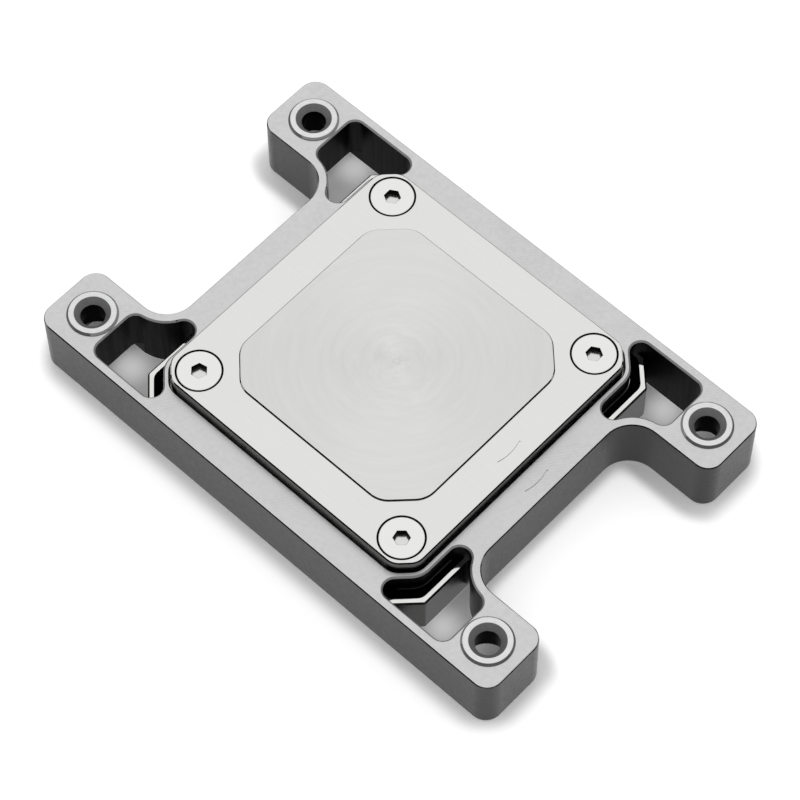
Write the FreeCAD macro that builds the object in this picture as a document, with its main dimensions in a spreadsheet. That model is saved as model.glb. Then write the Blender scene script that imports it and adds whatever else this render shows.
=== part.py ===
import FreeCAD, Part
import math
import os

import Sketcher

# Water block for a processor, lying with its cold plate up.
# Millimetres. Origin at the middle of the underside of the frame, +X along the frame, +Z up.

os.makedirs("parts", exist_ok=True)
doc = FreeCAD.newDocument("water_block")

# driving sizes
sizes = {
    # fixing holes in the ears of the frame
    "hole_spacing_long": 90.0,
    "hole_spacing_short": 54.0,
    "bore_diameter": 4.3,
    "seat_diameter": 6.35,
    "boss_diameter": 8.9,
    "boss_height": 0.45,
    "boss_slope": 0.35,
    "boss_to_window": 0.05,
    "counterbore_diameter": 8.3,
    # outline of the frame, from its holes and from the body that it holds
    "frame_height": 12.35,
    "ear_end_reach": 6.43,
    "ear_inner_reach": 6.95,
    "side_wall": 1.89,
    "waist_wall": 2.0,
    "notch_radius": 5.6,
    "ear_corner_radius": 3.0,
    "top_edge_chamfer": 0.18,
    "bottom_edge_chamfer": 0.3,
    # walls and windows of the frame
    "ledge_thickness": 4.0,
    "relief_depth": 3.0,
    "end_skin": 1.5,
    "side_skin": 1.71,
    "notch_wall": 1.73,
    "rim_wall": 0.95,
    "cutter_radius": 2.0,
    "window_chamfer": 0.3,
    "opening_chamfer": 0.12,
    # cold plate
    "plate_size": 56.3,
    "plate_thickness": 4.5,
    "plate_stand": 2.25,
    "plate_corner_leg": 3.0,
    "plate_corner_radius": 3.0,
    "plate_chamfer": 0.2,
    "plate_gap": 0.4,
    "pad_border": 6.8,
    "pad_height": 0.3,
    "pad_corner_leg": 5.6,
    "pad_corner_radius": 4.5,
    "pad_chamfer": 0.2,
    "fin_inset": 13.15,
    "fin_pitch": 1.0,
    "fin_channel": 0.5,
    "fin_depth": 2.0,
    "plenum_length": 3.5,
    # body under the plate
    "flange_reach": 3.65,
    "flange_gap": 0.3,
    "flange_corner_leg": 4.4,
    "flange_corner_radius": 0.6,
    "flange_chamfer": 0.3,
    "lip_width": 0.7,
    "lip_groove_depth": 1.2,
    "lip_groove_land": 0.05,
    "lip_radius": 2.1,
    "cavity_end_gap": 0.1,
    "cavity_side_gap": 1.6,
    "cavity_corner_radius": 2.0,
    "port_spacing": 25.4,
    "port_diameter": 11.8,
    "port_floor": 1.0,
    "port_chamfer": 0.7,
    "passage_shift": 2.8,
    "passage_diameter": 5.0,
    # seals
    "seal_inset": 6.4,
    "seal_groove_radius": 6.0,
    "seal_thickness": 1.6,
    "seal_groove_slack": 0.3,
    "inlet_seal_land": 0.9,
    "inlet_seal_thickness": 1.0,
    # insert and jet plate
    "insert_thickness": 3.0,
    "insert_play": 0.3,
    "insert_recess_depth": 0.9,
    "insert_border": 1.2,
    "channel_depth": 1.2,
    "channel_width": 6.0,
    "island_land": 0.8,
    "trough_inset": 2.0,
    "trough_width": 3.0,
    "jet_thickness": 0.4,
    "jet_slot_width": 1.0,
    "return_slot_width": 1.8,
    # screws
    "screw_inset_long": 5.15,
    "screw_inset_short": 4.6,
    "screw_diameter": 4.0,
    "screw_clearance": 0.5,
    "screw_head_diameter": 7.54,
    "screw_length": 10.0,
    "screw_tip_chamfer": 0.5,
    "head_land": 0.33,
    "socket_width": 2.5,
    "socket_depth": 1.1,
    "thread_clearance": 0.1,
    "tapped_hole_spare": 1.0,
    # small curved marks on one side
    "mark_chord": 5.3,
    "mark_rise": 0.4,
    "mark_width": 0.26,
    "mark_depth": 0.12,
    "plate_mark_inset": 2.65,
    "frame_mark_inset": 2.45,
}

# sizes that follow from the driving ones, as sheet formulas
followers = {
    "flange_size": "plate_size + 2 * flange_reach",
    "seat_size": "flange_size + 2 * flange_gap",
    "lip_inset": "flange_chamfer + lip_width",
    "lip_size": "flange_size - 2 * lip_inset",
    "lip_leg": "flange_corner_leg - lip_inset * (2 - sqrt(2))",
    "waist_length": "seat_size + 2 * waist_wall",
    "frame_length": "hole_spacing_long + 2 * ear_end_reach",
    "frame_width": "max(seat_size + 2 * side_wall; hole_spacing_short + counterbore_diameter + 2 * side_skin)",
    "ear_gap": "hole_spacing_short - 2 * ear_inner_reach",
    "flange_height": "frame_height - ledge_thickness",
    "plate_top": "frame_height + plate_stand",
    "plate_bottom": "plate_top - plate_thickness",
    "neck_height": "plate_bottom - flange_height",
    "opening_size": "plate_size + 2 * plate_gap",
    "opening_leg": "plate_corner_leg + plate_gap * (2 - sqrt(2))",
    "opening_radius": "plate_corner_radius + plate_gap",
    "rim_radius": "opening_radius + rim_wall",
    "rim_leg": "opening_leg + rim_wall * (2 - sqrt(2))",
    "window_arc_radius": "notch_radius + notch_wall",
    "arc_centre_x": "waist_length / 2 + notch_radius",
    "arc_centre_y": "ear_gap / 2 - notch_radius",
    "window_inner": "opening_size / 2 + rim_wall",
    "foot_size": "opening_size + 2 * (rim_wall + lip_groove_land)",
    "foot_leg": "opening_leg + (rim_wall + lip_groove_land) * (2 - sqrt(2))",
    "foot_radius": "opening_radius + rim_wall + lip_groove_land",
    "window_outer": "frame_width / 2 - side_skin",
    "boss_side": "hole_spacing_long / 2 - boss_diameter / 2 - boss_to_window",
    "window_ear": "min(boss_side - window_chamfer; arc_centre_x + cutter_radius)",
    "relief_start": "window_ear - cutter_radius",
    "relief_end": "frame_length / 2 - end_skin",
    "relief_inner": "ear_gap / 2 + notch_wall",
    "cone_size": "(seat_diameter - bore_diameter) / 2",
    "pad_size": "plate_size - 2 * pad_border",
    "fin_length": "plate_size - 2 * fin_inset",
    "fin_field_width": "plate_size - 2 * fin_inset",
    "cavity_length": "fin_length + 2 * plenum_length + 2 * cavity_end_gap",
    "cavity_width": "fin_field_width + 2 * cavity_side_gap",
    "cavity_depth": "insert_thickness + jet_thickness",
    "port_depth": "plate_bottom - cavity_depth - port_floor",
    "passage_spacing": "port_spacing - 2 * passage_shift",
    "seal_size": "plate_size - 2 * seal_inset",
    "seal_groove_width": "seal_thickness + seal_groove_slack",
    "inlet_seal_diameter": "passage_diameter + 2 * inlet_seal_land + inlet_seal_thickness",
    "island_diameter": "inlet_seal_diameter + inlet_seal_thickness + 2 * island_land",
    "insert_length": "cavity_length - 2 * insert_play",
    "insert_width": "cavity_width - 2 * insert_play",
    "insert_radius": "cavity_corner_radius - insert_play",
    "recess_length": "insert_length - 2 * insert_border",
    "recess_width": "insert_width - 2 * insert_border",
    "recess_radius": "cavity_corner_radius / 2",
    "trough_length": "fin_field_width - 2 * trough_inset",
    "screw_spacing_long": "plate_size - 2 * screw_inset_long",
    "screw_spacing_short": "plate_size - 2 * screw_inset_short",
    "sink_diameter": "screw_head_diameter + 2 * head_land",
    "sink_bore_diameter": "screw_diameter + screw_clearance",
    "sink_size": "(sink_diameter - sink_bore_diameter) / 2",
    "tapped_hole_diameter": "screw_diameter + thread_clearance",
    "tapped_hole_depth": "screw_length - plate_thickness + tapped_hole_spare",
    "mark_radius": "(mark_chord * mark_chord / 4 + mark_rise * mark_rise) / (2 * mark_rise)",
    "plate_mark_place": "plate_size / 2 - plate_mark_inset",
    "frame_mark_place": "waist_length / 2 - frame_mark_inset",
}

sheet = doc.addObject("Spreadsheet::Sheet", "Sizes")
row = 1
for name, number in sizes.items():
    sheet.set("A%d" % row, name)
    sheet.set("B%d" % row, str(number))
    sheet.setAlias("B%d" % row, name)
    row += 1
for name, formula in followers.items():
    sheet.set("A%d" % row, name)
    sheet.set("B%d" % row, "=" + formula)
    sheet.setAlias("B%d" % row, name)
    row += 1
doc.recompute()


def size(name):
    return float(sheet.get(name))


def cell(name):
    return "Sizes." + name


def origin_feature(body, role):
    for feature in body.Origin.OriginFeatures:
        if feature.Role == role:
            return feature
    raise RuntimeError("no origin feature " + role)


def new_body(label):
    body = doc.addObject("PartDesign::Body", label)
    body.Label = label
    return body


def new_sketch(body, name, height=None, role="XY_Plane"):
    sketch = body.newObject("Sketcher::SketchObject", name)
    sketch.AttachmentSupport = [(origin_feature(body, role), "")]
    sketch.MapMode = "FlatFace"
    if height is not None:
        sketch.setExpression("AttachmentOffset.Base.z", height)
    return sketch


def bind(sketch, index, name, formula):
    sketch.renameConstraint(index, name)
    sketch.setExpression("Constraints." + name, formula)


def finish_sketch(sketch):
    doc.recompute()
    if sketch.solve() != 0:
        raise RuntimeError("sketch not solved: " + sketch.Name)


# a centred rectangle of bound length and width
def add_box(sketch, tag, length, width):
    a = size(length) / 2
    b = size(width) / 2
    corners = [(-a, -b), (a, -b), (a, b), (-a, b)]
    first = sketch.GeometryCount
    for i in range(4):
        p = FreeCAD.Vector(corners[i][0], corners[i][1], 0)
        q = FreeCAD.Vector(corners[(i + 1) % 4][0], corners[(i + 1) % 4][1], 0)
        sketch.addGeometry(Part.LineSegment(p, q), False)
    for i in range(4):
        sketch.addConstraint(Sketcher.Constraint("Coincident", first + i, 2, first + (i + 1) % 4, 1))
    for i in (0, 2):
        sketch.addConstraint(Sketcher.Constraint("Horizontal", first + i))
        sketch.addConstraint(Sketcher.Constraint("Vertical", first + i + 1))
    k = sketch.addConstraint(Sketcher.Constraint("DistanceX", first, 1, first, 2, 2 * a))
    bind(sketch, k, tag + "_length", cell(length))
    k = sketch.addConstraint(Sketcher.Constraint("DistanceY", first + 1, 1, first + 1, 2, 2 * b))
    bind(sketch, k, tag + "_width", cell(width))
    sketch.addConstraint(Sketcher.Constraint("Symmetric", first, 1, first + 1, 2, -1, 1))


# four circles on the corners of a centred rectangle
def add_four_circles(sketch, diameter, spacing_x, spacing_y):
    a = size(spacing_x) / 2
    b = size(spacing_y) / 2
    r = size(diameter) / 2
    up = FreeCAD.Vector(0, 0, 1)
    places = [(-a, -b), (a, -b), (a, b), (-a, b)]
    for x, y in places:
        sketch.addGeometry(Part.Circle(FreeCAD.Vector(x, y, 0), up, r), False)
    k = sketch.addConstraint(Sketcher.Constraint("Diameter", 0, 2 * r))
    bind(sketch, k, "diameter", cell(diameter))
    for i in (1, 2, 3):
        sketch.addConstraint(Sketcher.Constraint("Equal", 0, i))
    k = sketch.addConstraint(Sketcher.Constraint("DistanceX", 0, 3, 1, 3, 2 * a))
    bind(sketch, k, "spacing_x", cell(spacing_x))
    k = sketch.addConstraint(Sketcher.Constraint("DistanceY", 1, 3, 2, 3, 2 * b))
    bind(sketch, k, "spacing_y", cell(spacing_y))
    sketch.addConstraint(Sketcher.Constraint("Horizontal", 0, 3, 1, 3))
    sketch.addConstraint(Sketcher.Constraint("Vertical", 1, 3, 2, 3))
    sketch.addConstraint(Sketcher.Constraint("Symmetric", 0, 3, 2, 3, -1, 1))
    sketch.addConstraint(Sketcher.Constraint("Symmetric", 1, 3, 3, 3, -1, 1))


# a centred rectangle with round corners
def add_round_box(sketch, tag, length, width, radius):
    a = number_of(length) / 2
    b = number_of(width) / 2
    r = number_of(radius)
    up = FreeCAD.Vector(0, 0, 1)
    first = sketch.GeometryCount
    pieces = [
        Part.LineSegment(FreeCAD.Vector(-a + r, -b, 0), FreeCAD.Vector(a - r, -b, 0)),
        Part.ArcOfCircle(Part.Circle(FreeCAD.Vector(a - r, -b + r, 0), up, r), -math.pi / 2, 0),
        Part.LineSegment(FreeCAD.Vector(a, -b + r, 0), FreeCAD.Vector(a, b - r, 0)),
        Part.ArcOfCircle(Part.Circle(FreeCAD.Vector(a - r, b - r, 0), up, r), 0, math.pi / 2),
        Part.LineSegment(FreeCAD.Vector(a - r, b, 0), FreeCAD.Vector(-a + r, b, 0)),
        Part.ArcOfCircle(Part.Circle(FreeCAD.Vector(-a + r, b - r, 0), up, r), math.pi / 2, math.pi),
        Part.LineSegment(FreeCAD.Vector(-a, b - r, 0), FreeCAD.Vector(-a, -b + r, 0)),
        Part.ArcOfCircle(Part.Circle(FreeCAD.Vector(-a + r, -b + r, 0), up, r), math.pi, math.pi * 1.5),
    ]
    for piece in pieces:
        sketch.addGeometry(piece, False)
    for i in range(8):
        sketch.addConstraint(Sketcher.Constraint("Tangent", first + i, 2, first + (i + 1) % 8, 1))
    for i in (0, 4):
        sketch.addConstraint(Sketcher.Constraint("Horizontal", first + i))
        sketch.addConstraint(Sketcher.Constraint("Vertical", first + i + 2))
    for i in (3, 5, 7):
        sketch.addConstraint(Sketcher.Constraint("Equal", first + 1, first + i))
    k = sketch.addConstraint(Sketcher.Constraint("Radius", first + 1, r))
    bind(sketch, k, tag + "_radius", formula_of(radius))
    k = sketch.addConstraint(Sketcher.Constraint("DistanceX", -1, 1, first + 2, 1, a))
    bind(sketch, k, tag + "_half_length", "(" + formula_of(length) + ") / 2")
    k = sketch.addConstraint(Sketcher.Constraint("DistanceY", -1, 1, first + 4, 1, b))
    bind(sketch, k, tag + "_half_width", "(" + formula_of(width) + ") / 2")
    sketch.addConstraint(Sketcher.Constraint("Symmetric", first + 1, 3, first + 5, 3, -1, 1))


# a size is an alias, or a pair of alias and sign-weighted second alias
def number_of(what):
    if isinstance(what, str):
        return size(what)
    total = 0.0
    for factor, name in what:
        total += factor * size(name)
    return total


def formula_of(what):
    if isinstance(what, str):
        return cell(what)
    return " + ".join("(%g) * %s" % (factor, cell(name)) for factor, name in what)


def pad(body, sketch, name, length):
    feature = body.newObject("PartDesign::Pad", name)
    feature.Profile = sketch
    feature.setExpression("Length", length)
    sketch.Visibility = False
    doc.recompute()
    body.Tip = feature
    return feature


# a pocket whose volume is compared with the body's before and after
def pocket(body, sketch, name, depth=None, upward=False):
    before = body.Shape.Volume
    feature = body.newObject("PartDesign::Pocket", name)
    feature.Profile = sketch
    feature.Reversed = upward
    if depth is None:
        feature.Type = "ThroughAll"
        feature.Midplane = True
    else:
        feature.setExpression("Length", depth)
    doc.recompute()
    body.Tip = feature
    doc.recompute()
    if not body.Shape.Volume < before - 1e-6:
        raise RuntimeError("pocket cuts nothing: " + name)
    return feature


def edge_names(shape, test):
    names = []
    for i, edge in enumerate(shape.Edges, 1):
        if test(edge):
            names.append("Edge%d" % i)
    if not names:
        raise RuntimeError("no edges found")
    return names


def upright(edge):
    if len(edge.Vertexes) != 2:
        return False
    p = edge.Vertexes[0].Point
    q = edge.Vertexes[1].Point
    return abs(p.x - q.x) < 1e-5 and abs(p.y - q.y) < 1e-5 and abs(p.z - q.z) > 1e-4


def near(a, b, slack=1e-4):
    return abs(a - b) < slack


def dress(body, kind, name, names, amount):
    base = body.Tip
    feature = body.newObject("PartDesign::" + kind, name)
    feature.Base = (base, names)
    if kind == "Fillet":
        feature.setExpression("Radius", amount)
    else:
        feature.setExpression("Size", amount)
    doc.recompute()
    body.Tip = feature
    doc.recompute()
    return feature


# chamfer the corners of a square column and round the edges that this leaves
def clip_corners(body, tag, length, leg, radius):
    half = number_of(length) / 2
    cut = number_of(leg)

    def at_corner(edge):
        if not upright(edge):
            return False
        p = edge.CenterOfMass
        return near(abs(p.x), half) and near(abs(p.y), half)

    dress(body, "Chamfer", tag + "_corners", edge_names(body.Shape, at_corner), formula_of(leg))

    def at_clip(edge):
        if not upright(edge):
            return False
        p = edge.CenterOfMass
        one = near(abs(p.x), half) and near(abs(p.y), half - cut)
        two = near(abs(p.y), half) and near(abs(p.x), half - cut)
        return one or two

    dress(body, "Fillet", tag + "_corner_rounds", edge_names(body.Shape, at_clip), formula_of(radius))


def four_ways(body, name, originals):
    before = body.Shape.Volume
    one = body.newObject("PartDesign::Mirrored", name + "_across")
    two = body.newObject("PartDesign::Mirrored", name + "_along")
    whole = body.newObject("PartDesign::MultiTransform", name)
    whole.Originals = originals
    one.MirrorPlane = (origin_feature(body, "YZ_Plane"), [""])
    two.MirrorPlane = (origin_feature(body, "XZ_Plane"), [""])
    whole.Transformations = [one, two]
    body.Tip = whole
    doc.recompute()
    if near(body.Shape.Volume, before, 1e-6):
        raise RuntimeError("mirror changes nothing: " + name)
    return whole


# mounting frame: outline, ears and notches
frame = new_body("mounting_frame")
outline = new_sketch(frame, "frame_outline")
add_box(outline, "outline", "frame_length", "frame_width")
finish_sketch(outline)
pad(frame, outline, "frame_block", cell("frame_height"))

notch = new_sketch(frame, "notch_outline")
half_waist = size("waist_length") / 2
half_gap = size("ear_gap") / 2
half_long = size("frame_length") / 2
points = [(half_waist, -half_gap), (half_long, -half_gap), (half_long, half_gap), (half_waist, half_gap)]
for i in range(4):
    p = FreeCAD.Vector(points[i][0], points[i][1], 0)
    q = FreeCAD.Vector(points[(i + 1) % 4][0], points[(i + 1) % 4][1], 0)
    notch.addGeometry(Part.LineSegment(p, q), False)
for i in range(4):
    notch.addConstraint(Sketcher.Constraint("Coincident", i, 2, (i + 1) % 4, 1))
notch.addConstraint(Sketcher.Constraint("Horizontal", 0))
notch.addConstraint(Sketcher.Constraint("Horizontal", 2))
notch.addConstraint(Sketcher.Constraint("Vertical", 1))
notch.addConstraint(Sketcher.Constraint("Symmetric", 3, 1, 3, 2, -1))
k = notch.addConstraint(Sketcher.Constraint("DistanceX", -1, 1, 3, 1, half_waist))
bind(notch, k, "waist", cell("waist_length") + " / 2")
k = notch.addConstraint(Sketcher.Constraint("DistanceX", -1, 1, 0, 2, half_long))
bind(notch, k, "reach", cell("frame_length") + " / 2")
k = notch.addConstraint(Sketcher.Constraint("DistanceY", 1, 1, 1, 2, 2 * half_gap))
bind(notch, k, "gap", cell("ear_gap"))
finish_sketch(notch)
notch_cut = pocket(frame, notch, "notch")
notch_pair = frame.newObject("PartDesign::Mirrored", "notches")
notch_pair.Originals = [notch_cut]
notch_pair.MirrorPlane = (origin_feature(frame, "YZ_Plane"), [""])
frame.Tip = notch_pair
doc.recompute()

half_wide = size("frame_width") / 2


def ear_corner(edge):
    p = edge.CenterOfMass
    beside = near(abs(p.y), half_wide) or near(abs(p.y), half_gap)
    return upright(edge) and near(abs(p.x), half_long) and beside


def notch_corner(edge):
    p = edge.CenterOfMass
    return upright(edge) and near(abs(p.x), half_waist) and near(abs(p.y), half_gap)


dress(frame, "Fillet", "ear_corners", edge_names(frame.Shape, ear_corner), cell("ear_corner_radius"))
dress(frame, "Fillet", "notch_corners", edge_names(frame.Shape, notch_corner), cell("notch_radius"))

frame_top = size("frame_height")


def level(edge, height):
    box = edge.BoundBox
    return near(box.ZMin, height) and near(box.ZMax, height)


dress(frame, "Chamfer", "top_edges",
      edge_names(frame.Shape, lambda edge: level(edge, frame_top)), cell("top_edge_chamfer"))
dress(frame, "Chamfer", "bottom_edges",
      edge_names(frame.Shape, lambda edge: level(edge, 0.0)), cell("bottom_edge_chamfer"))

# central opening that the cold plate stands in
opening = new_sketch(frame, "opening_outline")
add_box(opening, "opening", "opening_size", "opening_size")
finish_sketch(opening)
pocket(frame, opening, "opening")
clip_corners(frame, "opening", "opening_size", "opening_leg", "opening_radius")

half_open = size("opening_size") / 2


def opening_edge(edge):
    p = edge.BoundBox
    inside = max(abs(p.XMin), abs(p.XMax), abs(p.YMin), abs(p.YMax)) < half_open + 1e-3
    return level(edge, frame_top) and inside


dress(frame, "Chamfer", "opening_edges", edge_names(frame.Shape, opening_edge), cell("opening_chamfer"))

# lower pocket that takes the flange of the body
seat = new_sketch(frame, "seat_outline")
add_box(seat, "seat", "seat_size", "seat_size")
finish_sketch(seat)
pocket(frame, seat, "flange_seat", cell("flange_height"), upward=True)

# windows, drawn once with tangent lines and arcs
window = new_sketch(frame, "window_outline")
up = FreeCAD.Vector(0, 0, 1)
cut_r = size("cutter_radius")
wall_r = size("window_arc_radius")
rim_r = size("rim_radius")
win_in = size("window_inner")
win_out = size("window_outer")
win_ear = size("window_ear")
arc_x = size("arc_centre_x")
arc_y = size("arc_centre_y")
slope = 2 * win_in - size("rim_leg")
ear_c = (win_ear - cut_r, arc_y + math.sqrt((wall_r + cut_r) ** 2 - (win_ear - cut_r - arc_x) ** 2))
foot_c = (win_in + cut_r, arc_y + math.sqrt((wall_r + cut_r) ** 2 - (win_in + cut_r - arc_x) ** 2))
rim_c = (win_in - rim_r, slope - win_in - rim_r * math.tan(math.pi / 8))
end_c = (slope + cut_r * math.sqrt(2) - (win_out - cut_r), win_out - cut_r)
top_c = (win_ear - cut_r, win_out - cut_r)


def point(centre, radius, angle):
    return FreeCAD.Vector(centre[0] + radius * math.cos(angle), centre[1] + radius * math.sin(angle), 0)


def arc(centre, radius, start, end):
    circle = Part.Circle(FreeCAD.Vector(centre[0], centre[1], 0), up, radius)
    return Part.ArcOfCircle(circle, start, end)


ear_angle = math.atan2(ear_c[1] - arc_y, ear_c[0] - arc_x)
foot_angle = math.atan2(foot_c[1] - arc_y, foot_c[0] - arc_x)
quarter = math.pi / 2
eighth = math.pi / 4
# each piece with a word for how it is followed round the outline
pieces = [
    (arc(top_c, cut_r, 0, quarter), "forward"),
    (Part.LineSegment(point(top_c, cut_r, quarter), point(end_c, cut_r, quarter)), "forward"),
    (arc(end_c, cut_r, quarter, math.pi + eighth), "forward"),
    (Part.LineSegment(point(end_c, cut_r, math.pi + eighth), point(rim_c, rim_r, eighth)), "forward"),
    (arc(rim_c, rim_r, 0, eighth), "backward"),
    (Part.LineSegment(point(rim_c, rim_r, 0), point(foot_c, cut_r, math.pi)), "forward"),
    (arc(foot_c, cut_r, math.pi, foot_angle + math.pi), "forward"),
    (arc((arc_x, arc_y), wall_r, ear_angle, foot_angle), "backward"),
    (arc(ear_c, cut_r, ear_angle + math.pi, 2 * math.pi), "forward"),
    (Part.LineSegment(point(ear_c, cut_r, 0), point(top_c, cut_r, 0)), "forward"),
]
for piece, way in pieces:
    window.addGeometry(piece, False)
for i in range(len(pieces)):
    after = (i + 1) % len(pieces)
    leaves = 2 if pieces[i][1] == "forward" else 1
    enters = 1 if pieces[after][1] == "forward" else 2
    window.addConstraint(Sketcher.Constraint("Tangent", i, leaves, after, enters))
window.addConstraint(Sketcher.Constraint("Horizontal", 1))
window.addConstraint(Sketcher.Constraint("Vertical", 5))
window.addConstraint(Sketcher.Constraint("Vertical", 9))
for i in (2, 6, 8):
    window.addConstraint(Sketcher.Constraint("Equal", 0, i))
k = window.addConstraint(Sketcher.Constraint("Radius", 0, cut_r))
bind(window, k, "cutter", cell("cutter_radius"))
k = window.addConstraint(Sketcher.Constraint("DistanceX", -1, 1, 9, 1, win_ear))
bind(window, k, "ear_side", cell("window_ear"))
k = window.addConstraint(Sketcher.Constraint("DistanceY", -1, 1, 1, 1, win_out))
bind(window, k, "outer_side", cell("window_outer"))
k = window.addConstraint(Sketcher.Constraint("DistanceX", -1, 1, 5, 1, win_in))
bind(window, k, "inner_side", cell("window_inner"))
k = window.addConstraint(Sketcher.Constraint("Radius", 7, wall_r))
bind(window, k, "wall_arc", cell("window_arc_radius"))
k = window.addConstraint(Sketcher.Constraint("DistanceX", -1, 1, 7, 3, arc_x))
bind(window, k, "arc_place_x", cell("arc_centre_x"))
k = window.addConstraint(Sketcher.Constraint("DistanceY", -1, 1, 7, 3, arc_y))
bind(window, k, "arc_place_y", cell("arc_centre_y"))
k = window.addConstraint(Sketcher.Constraint("Radius", 4, rim_r))
bind(window, k, "rim_arc", cell("rim_radius"))
k = window.addConstraint(Sketcher.Constraint("DistanceY", -1, 1, 4, 3, rim_c[1]))
bind(window, k, "rim_place",
     "Sizes.window_inner - Sizes.rim_leg - Sizes.rim_radius * tan(22.5)")
finish_sketch(window)
window_cut = pocket(frame, window, "window")
windows = four_ways(frame, "windows", [window_cut])


def window_edge(edge):
    if not level(edge, frame_top):
        return False
    p = edge.valueAt((edge.FirstParameter + edge.LastParameter) / 2)
    folded = Part.Vertex(FreeCAD.Vector(abs(p.x), abs(p.y), 0))
    return window.Shape.distToShape(folded)[0] < 1e-4


dress(frame, "Chamfer", "window_edges", edge_names(frame.Shape, window_edge), cell("window_chamfer"))

# bosses, bores and seats in the ears
boss = new_sketch(frame, "boss_circles", "Sizes.frame_height - Sizes.window_chamfer")
add_four_circles(boss, "boss_diameter", "hole_spacing_long", "hole_spacing_short")
finish_sketch(boss)
pad(frame, boss, "bosses", "Sizes.boss_height + Sizes.window_chamfer")
boss_top = frame_top + size("boss_height")
dress(frame, "Chamfer", "boss_slopes",
      edge_names(frame.Shape, lambda edge: level(edge, boss_top)), cell("boss_slope"))
bore = new_sketch(frame, "bore_circles")
add_four_circles(bore, "bore_diameter", "hole_spacing_long", "hole_spacing_short")
finish_sketch(bore)
pocket(frame, bore, "bores")
bore_r = size("bore_diameter") / 2


def bore_mouth(edge):
    if not level(edge, boss_top):
        return False
    return near(edge.BoundBox.XMax - edge.BoundBox.XMin, 2 * bore_r, 1e-3)


dress(frame, "Chamfer", "seats", edge_names(frame.Shape, bore_mouth), cell("cone_size"))
counterbore = new_sketch(frame, "counterbore_circles")
add_four_circles(counterbore, "counterbore_diameter", "hole_spacing_long", "hole_spacing_short")
finish_sketch(counterbore)
pocket(frame, counterbore, "counterbores", cell("flange_height"), upward=True)

# relief under each ear, open to the window
relief = new_sketch(frame, "relief_outline")
x0 = size("relief_start")
x1 = size("relief_end")
y0 = size("relief_inner")
y1 = size("window_outer")
relief.addGeometry([
    Part.LineSegment(FreeCAD.Vector(x0, y0, 0), FreeCAD.Vector(x1 - cut_r, y0, 0)),
    arc((x1 - cut_r, y0 + cut_r), cut_r, -quarter, 0),
    Part.LineSegment(FreeCAD.Vector(x1, y0 + cut_r, 0), FreeCAD.Vector(x1, y1 - cut_r, 0)),
    arc((x1 - cut_r, y1 - cut_r), cut_r, 0, quarter),
    Part.LineSegment(FreeCAD.Vector(x1 - cut_r, y1, 0), FreeCAD.Vector(x0, y1, 0)),
    Part.LineSegment(FreeCAD.Vector(x0, y1, 0), FreeCAD.Vector(x0, y0, 0)),
], False)
for a, c in ((0, 1), (1, 2), (2, 3), (3, 4)):
    relief.addConstraint(Sketcher.Constraint("Tangent", a, 2, c, 1))
relief.addConstraint(Sketcher.Constraint("Coincident", 4, 2, 5, 1))
relief.addConstraint(Sketcher.Constraint("Coincident", 5, 2, 0, 1))
relief.addConstraint(Sketcher.Constraint("Horizontal", 0))
relief.addConstraint(Sketcher.Constraint("Vertical", 2))
relief.addConstraint(Sketcher.Constraint("Horizontal", 4))
relief.addConstraint(Sketcher.Constraint("Vertical", 5))
relief.addConstraint(Sketcher.Constraint("Equal", 1, 3))
k = relief.addConstraint(Sketcher.Constraint("Radius", 1, cut_r))
bind(relief, k, "cutter", cell("cutter_radius"))
k = relief.addConstraint(Sketcher.Constraint("DistanceX", -1, 1, 0, 1, x0))
bind(relief, k, "start", cell("relief_start"))
k = relief.addConstraint(Sketcher.Constraint("DistanceX", -1, 1, 2, 1, x1))
bind(relief, k, "reach", cell("relief_end"))
k = relief.addConstraint(Sketcher.Constraint("DistanceY", -1, 1, 0, 1, y0))
bind(relief, k, "inner", cell("relief_inner"))
k = relief.addConstraint(Sketcher.Constraint("DistanceY", -1, 1, 4, 1, y1))
bind(relief, k, "outer", cell("window_outer"))
finish_sketch(relief)
relief_cut = pocket(frame, relief, "relief", cell("relief_depth"), upward=True)
four_ways(frame, "reliefs", [relief_cut])


# a short curved mark, cut from a given height down
def cut_mark(body, name, place, height):
    sketch = new_sketch(body, name + "_outline", height)
    chord = size("mark_chord")
    middle = size("mark_radius")
    half = size("mark_width") / 2
    reach = math.asin(chord / 2 / middle)
    centre = (size(place) - middle, 0.0)
    sketch.addGeometry([
        arc(centre, middle - half, -reach, reach),
        arc(centre, middle + half, -reach, reach),
        arc((centre[0] + middle * math.cos(reach), middle * math.sin(reach)), half, reach, reach + math.pi),
        arc((centre[0] + middle * math.cos(reach), -middle * math.sin(reach)), half,
            math.pi - reach, 2 * math.pi - reach),
    ], False)
    sketch.addConstraint(Sketcher.Constraint("Coincident", 0, 3, 1, 3))
    sketch.addConstraint(Sketcher.Constraint("PointOnObject", 0, 3, -1))
    sketch.addConstraint(Sketcher.Constraint("Tangent", 1, 2, 2, 1))
    sketch.addConstraint(Sketcher.Constraint("Tangent", 2, 2, 0, 2))
    sketch.addConstraint(Sketcher.Constraint("Tangent", 0, 1, 3, 1))
    sketch.addConstraint(Sketcher.Constraint("Tangent", 3, 2, 1, 1))
    k = sketch.addConstraint(Sketcher.Constraint("DistanceX", -1, 1, 0, 3, centre[0]))
    bind(sketch, k, "place", cell(place) + " - Sizes.mark_radius")
    k = sketch.addConstraint(Sketcher.Constraint("Radius", 0, middle - half))
    bind(sketch, k, "inner", "Sizes.mark_radius - Sizes.mark_width / 2")
    k = sketch.addConstraint(Sketcher.Constraint("Radius", 1, middle + half))
    bind(sketch, k, "outer", "Sizes.mark_radius + Sizes.mark_width / 2")
    k = sketch.addConstraint(Sketcher.Constraint("DistanceY", 3, 3, 2, 3, chord))
    bind(sketch, k, "chord", "Sizes.mark_chord")
    finish_sketch(sketch)
    pocket(body, sketch, name, cell("mark_depth"))


cut_mark(frame, "frame_mark", "frame_mark_place", cell("frame_height"))

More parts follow.
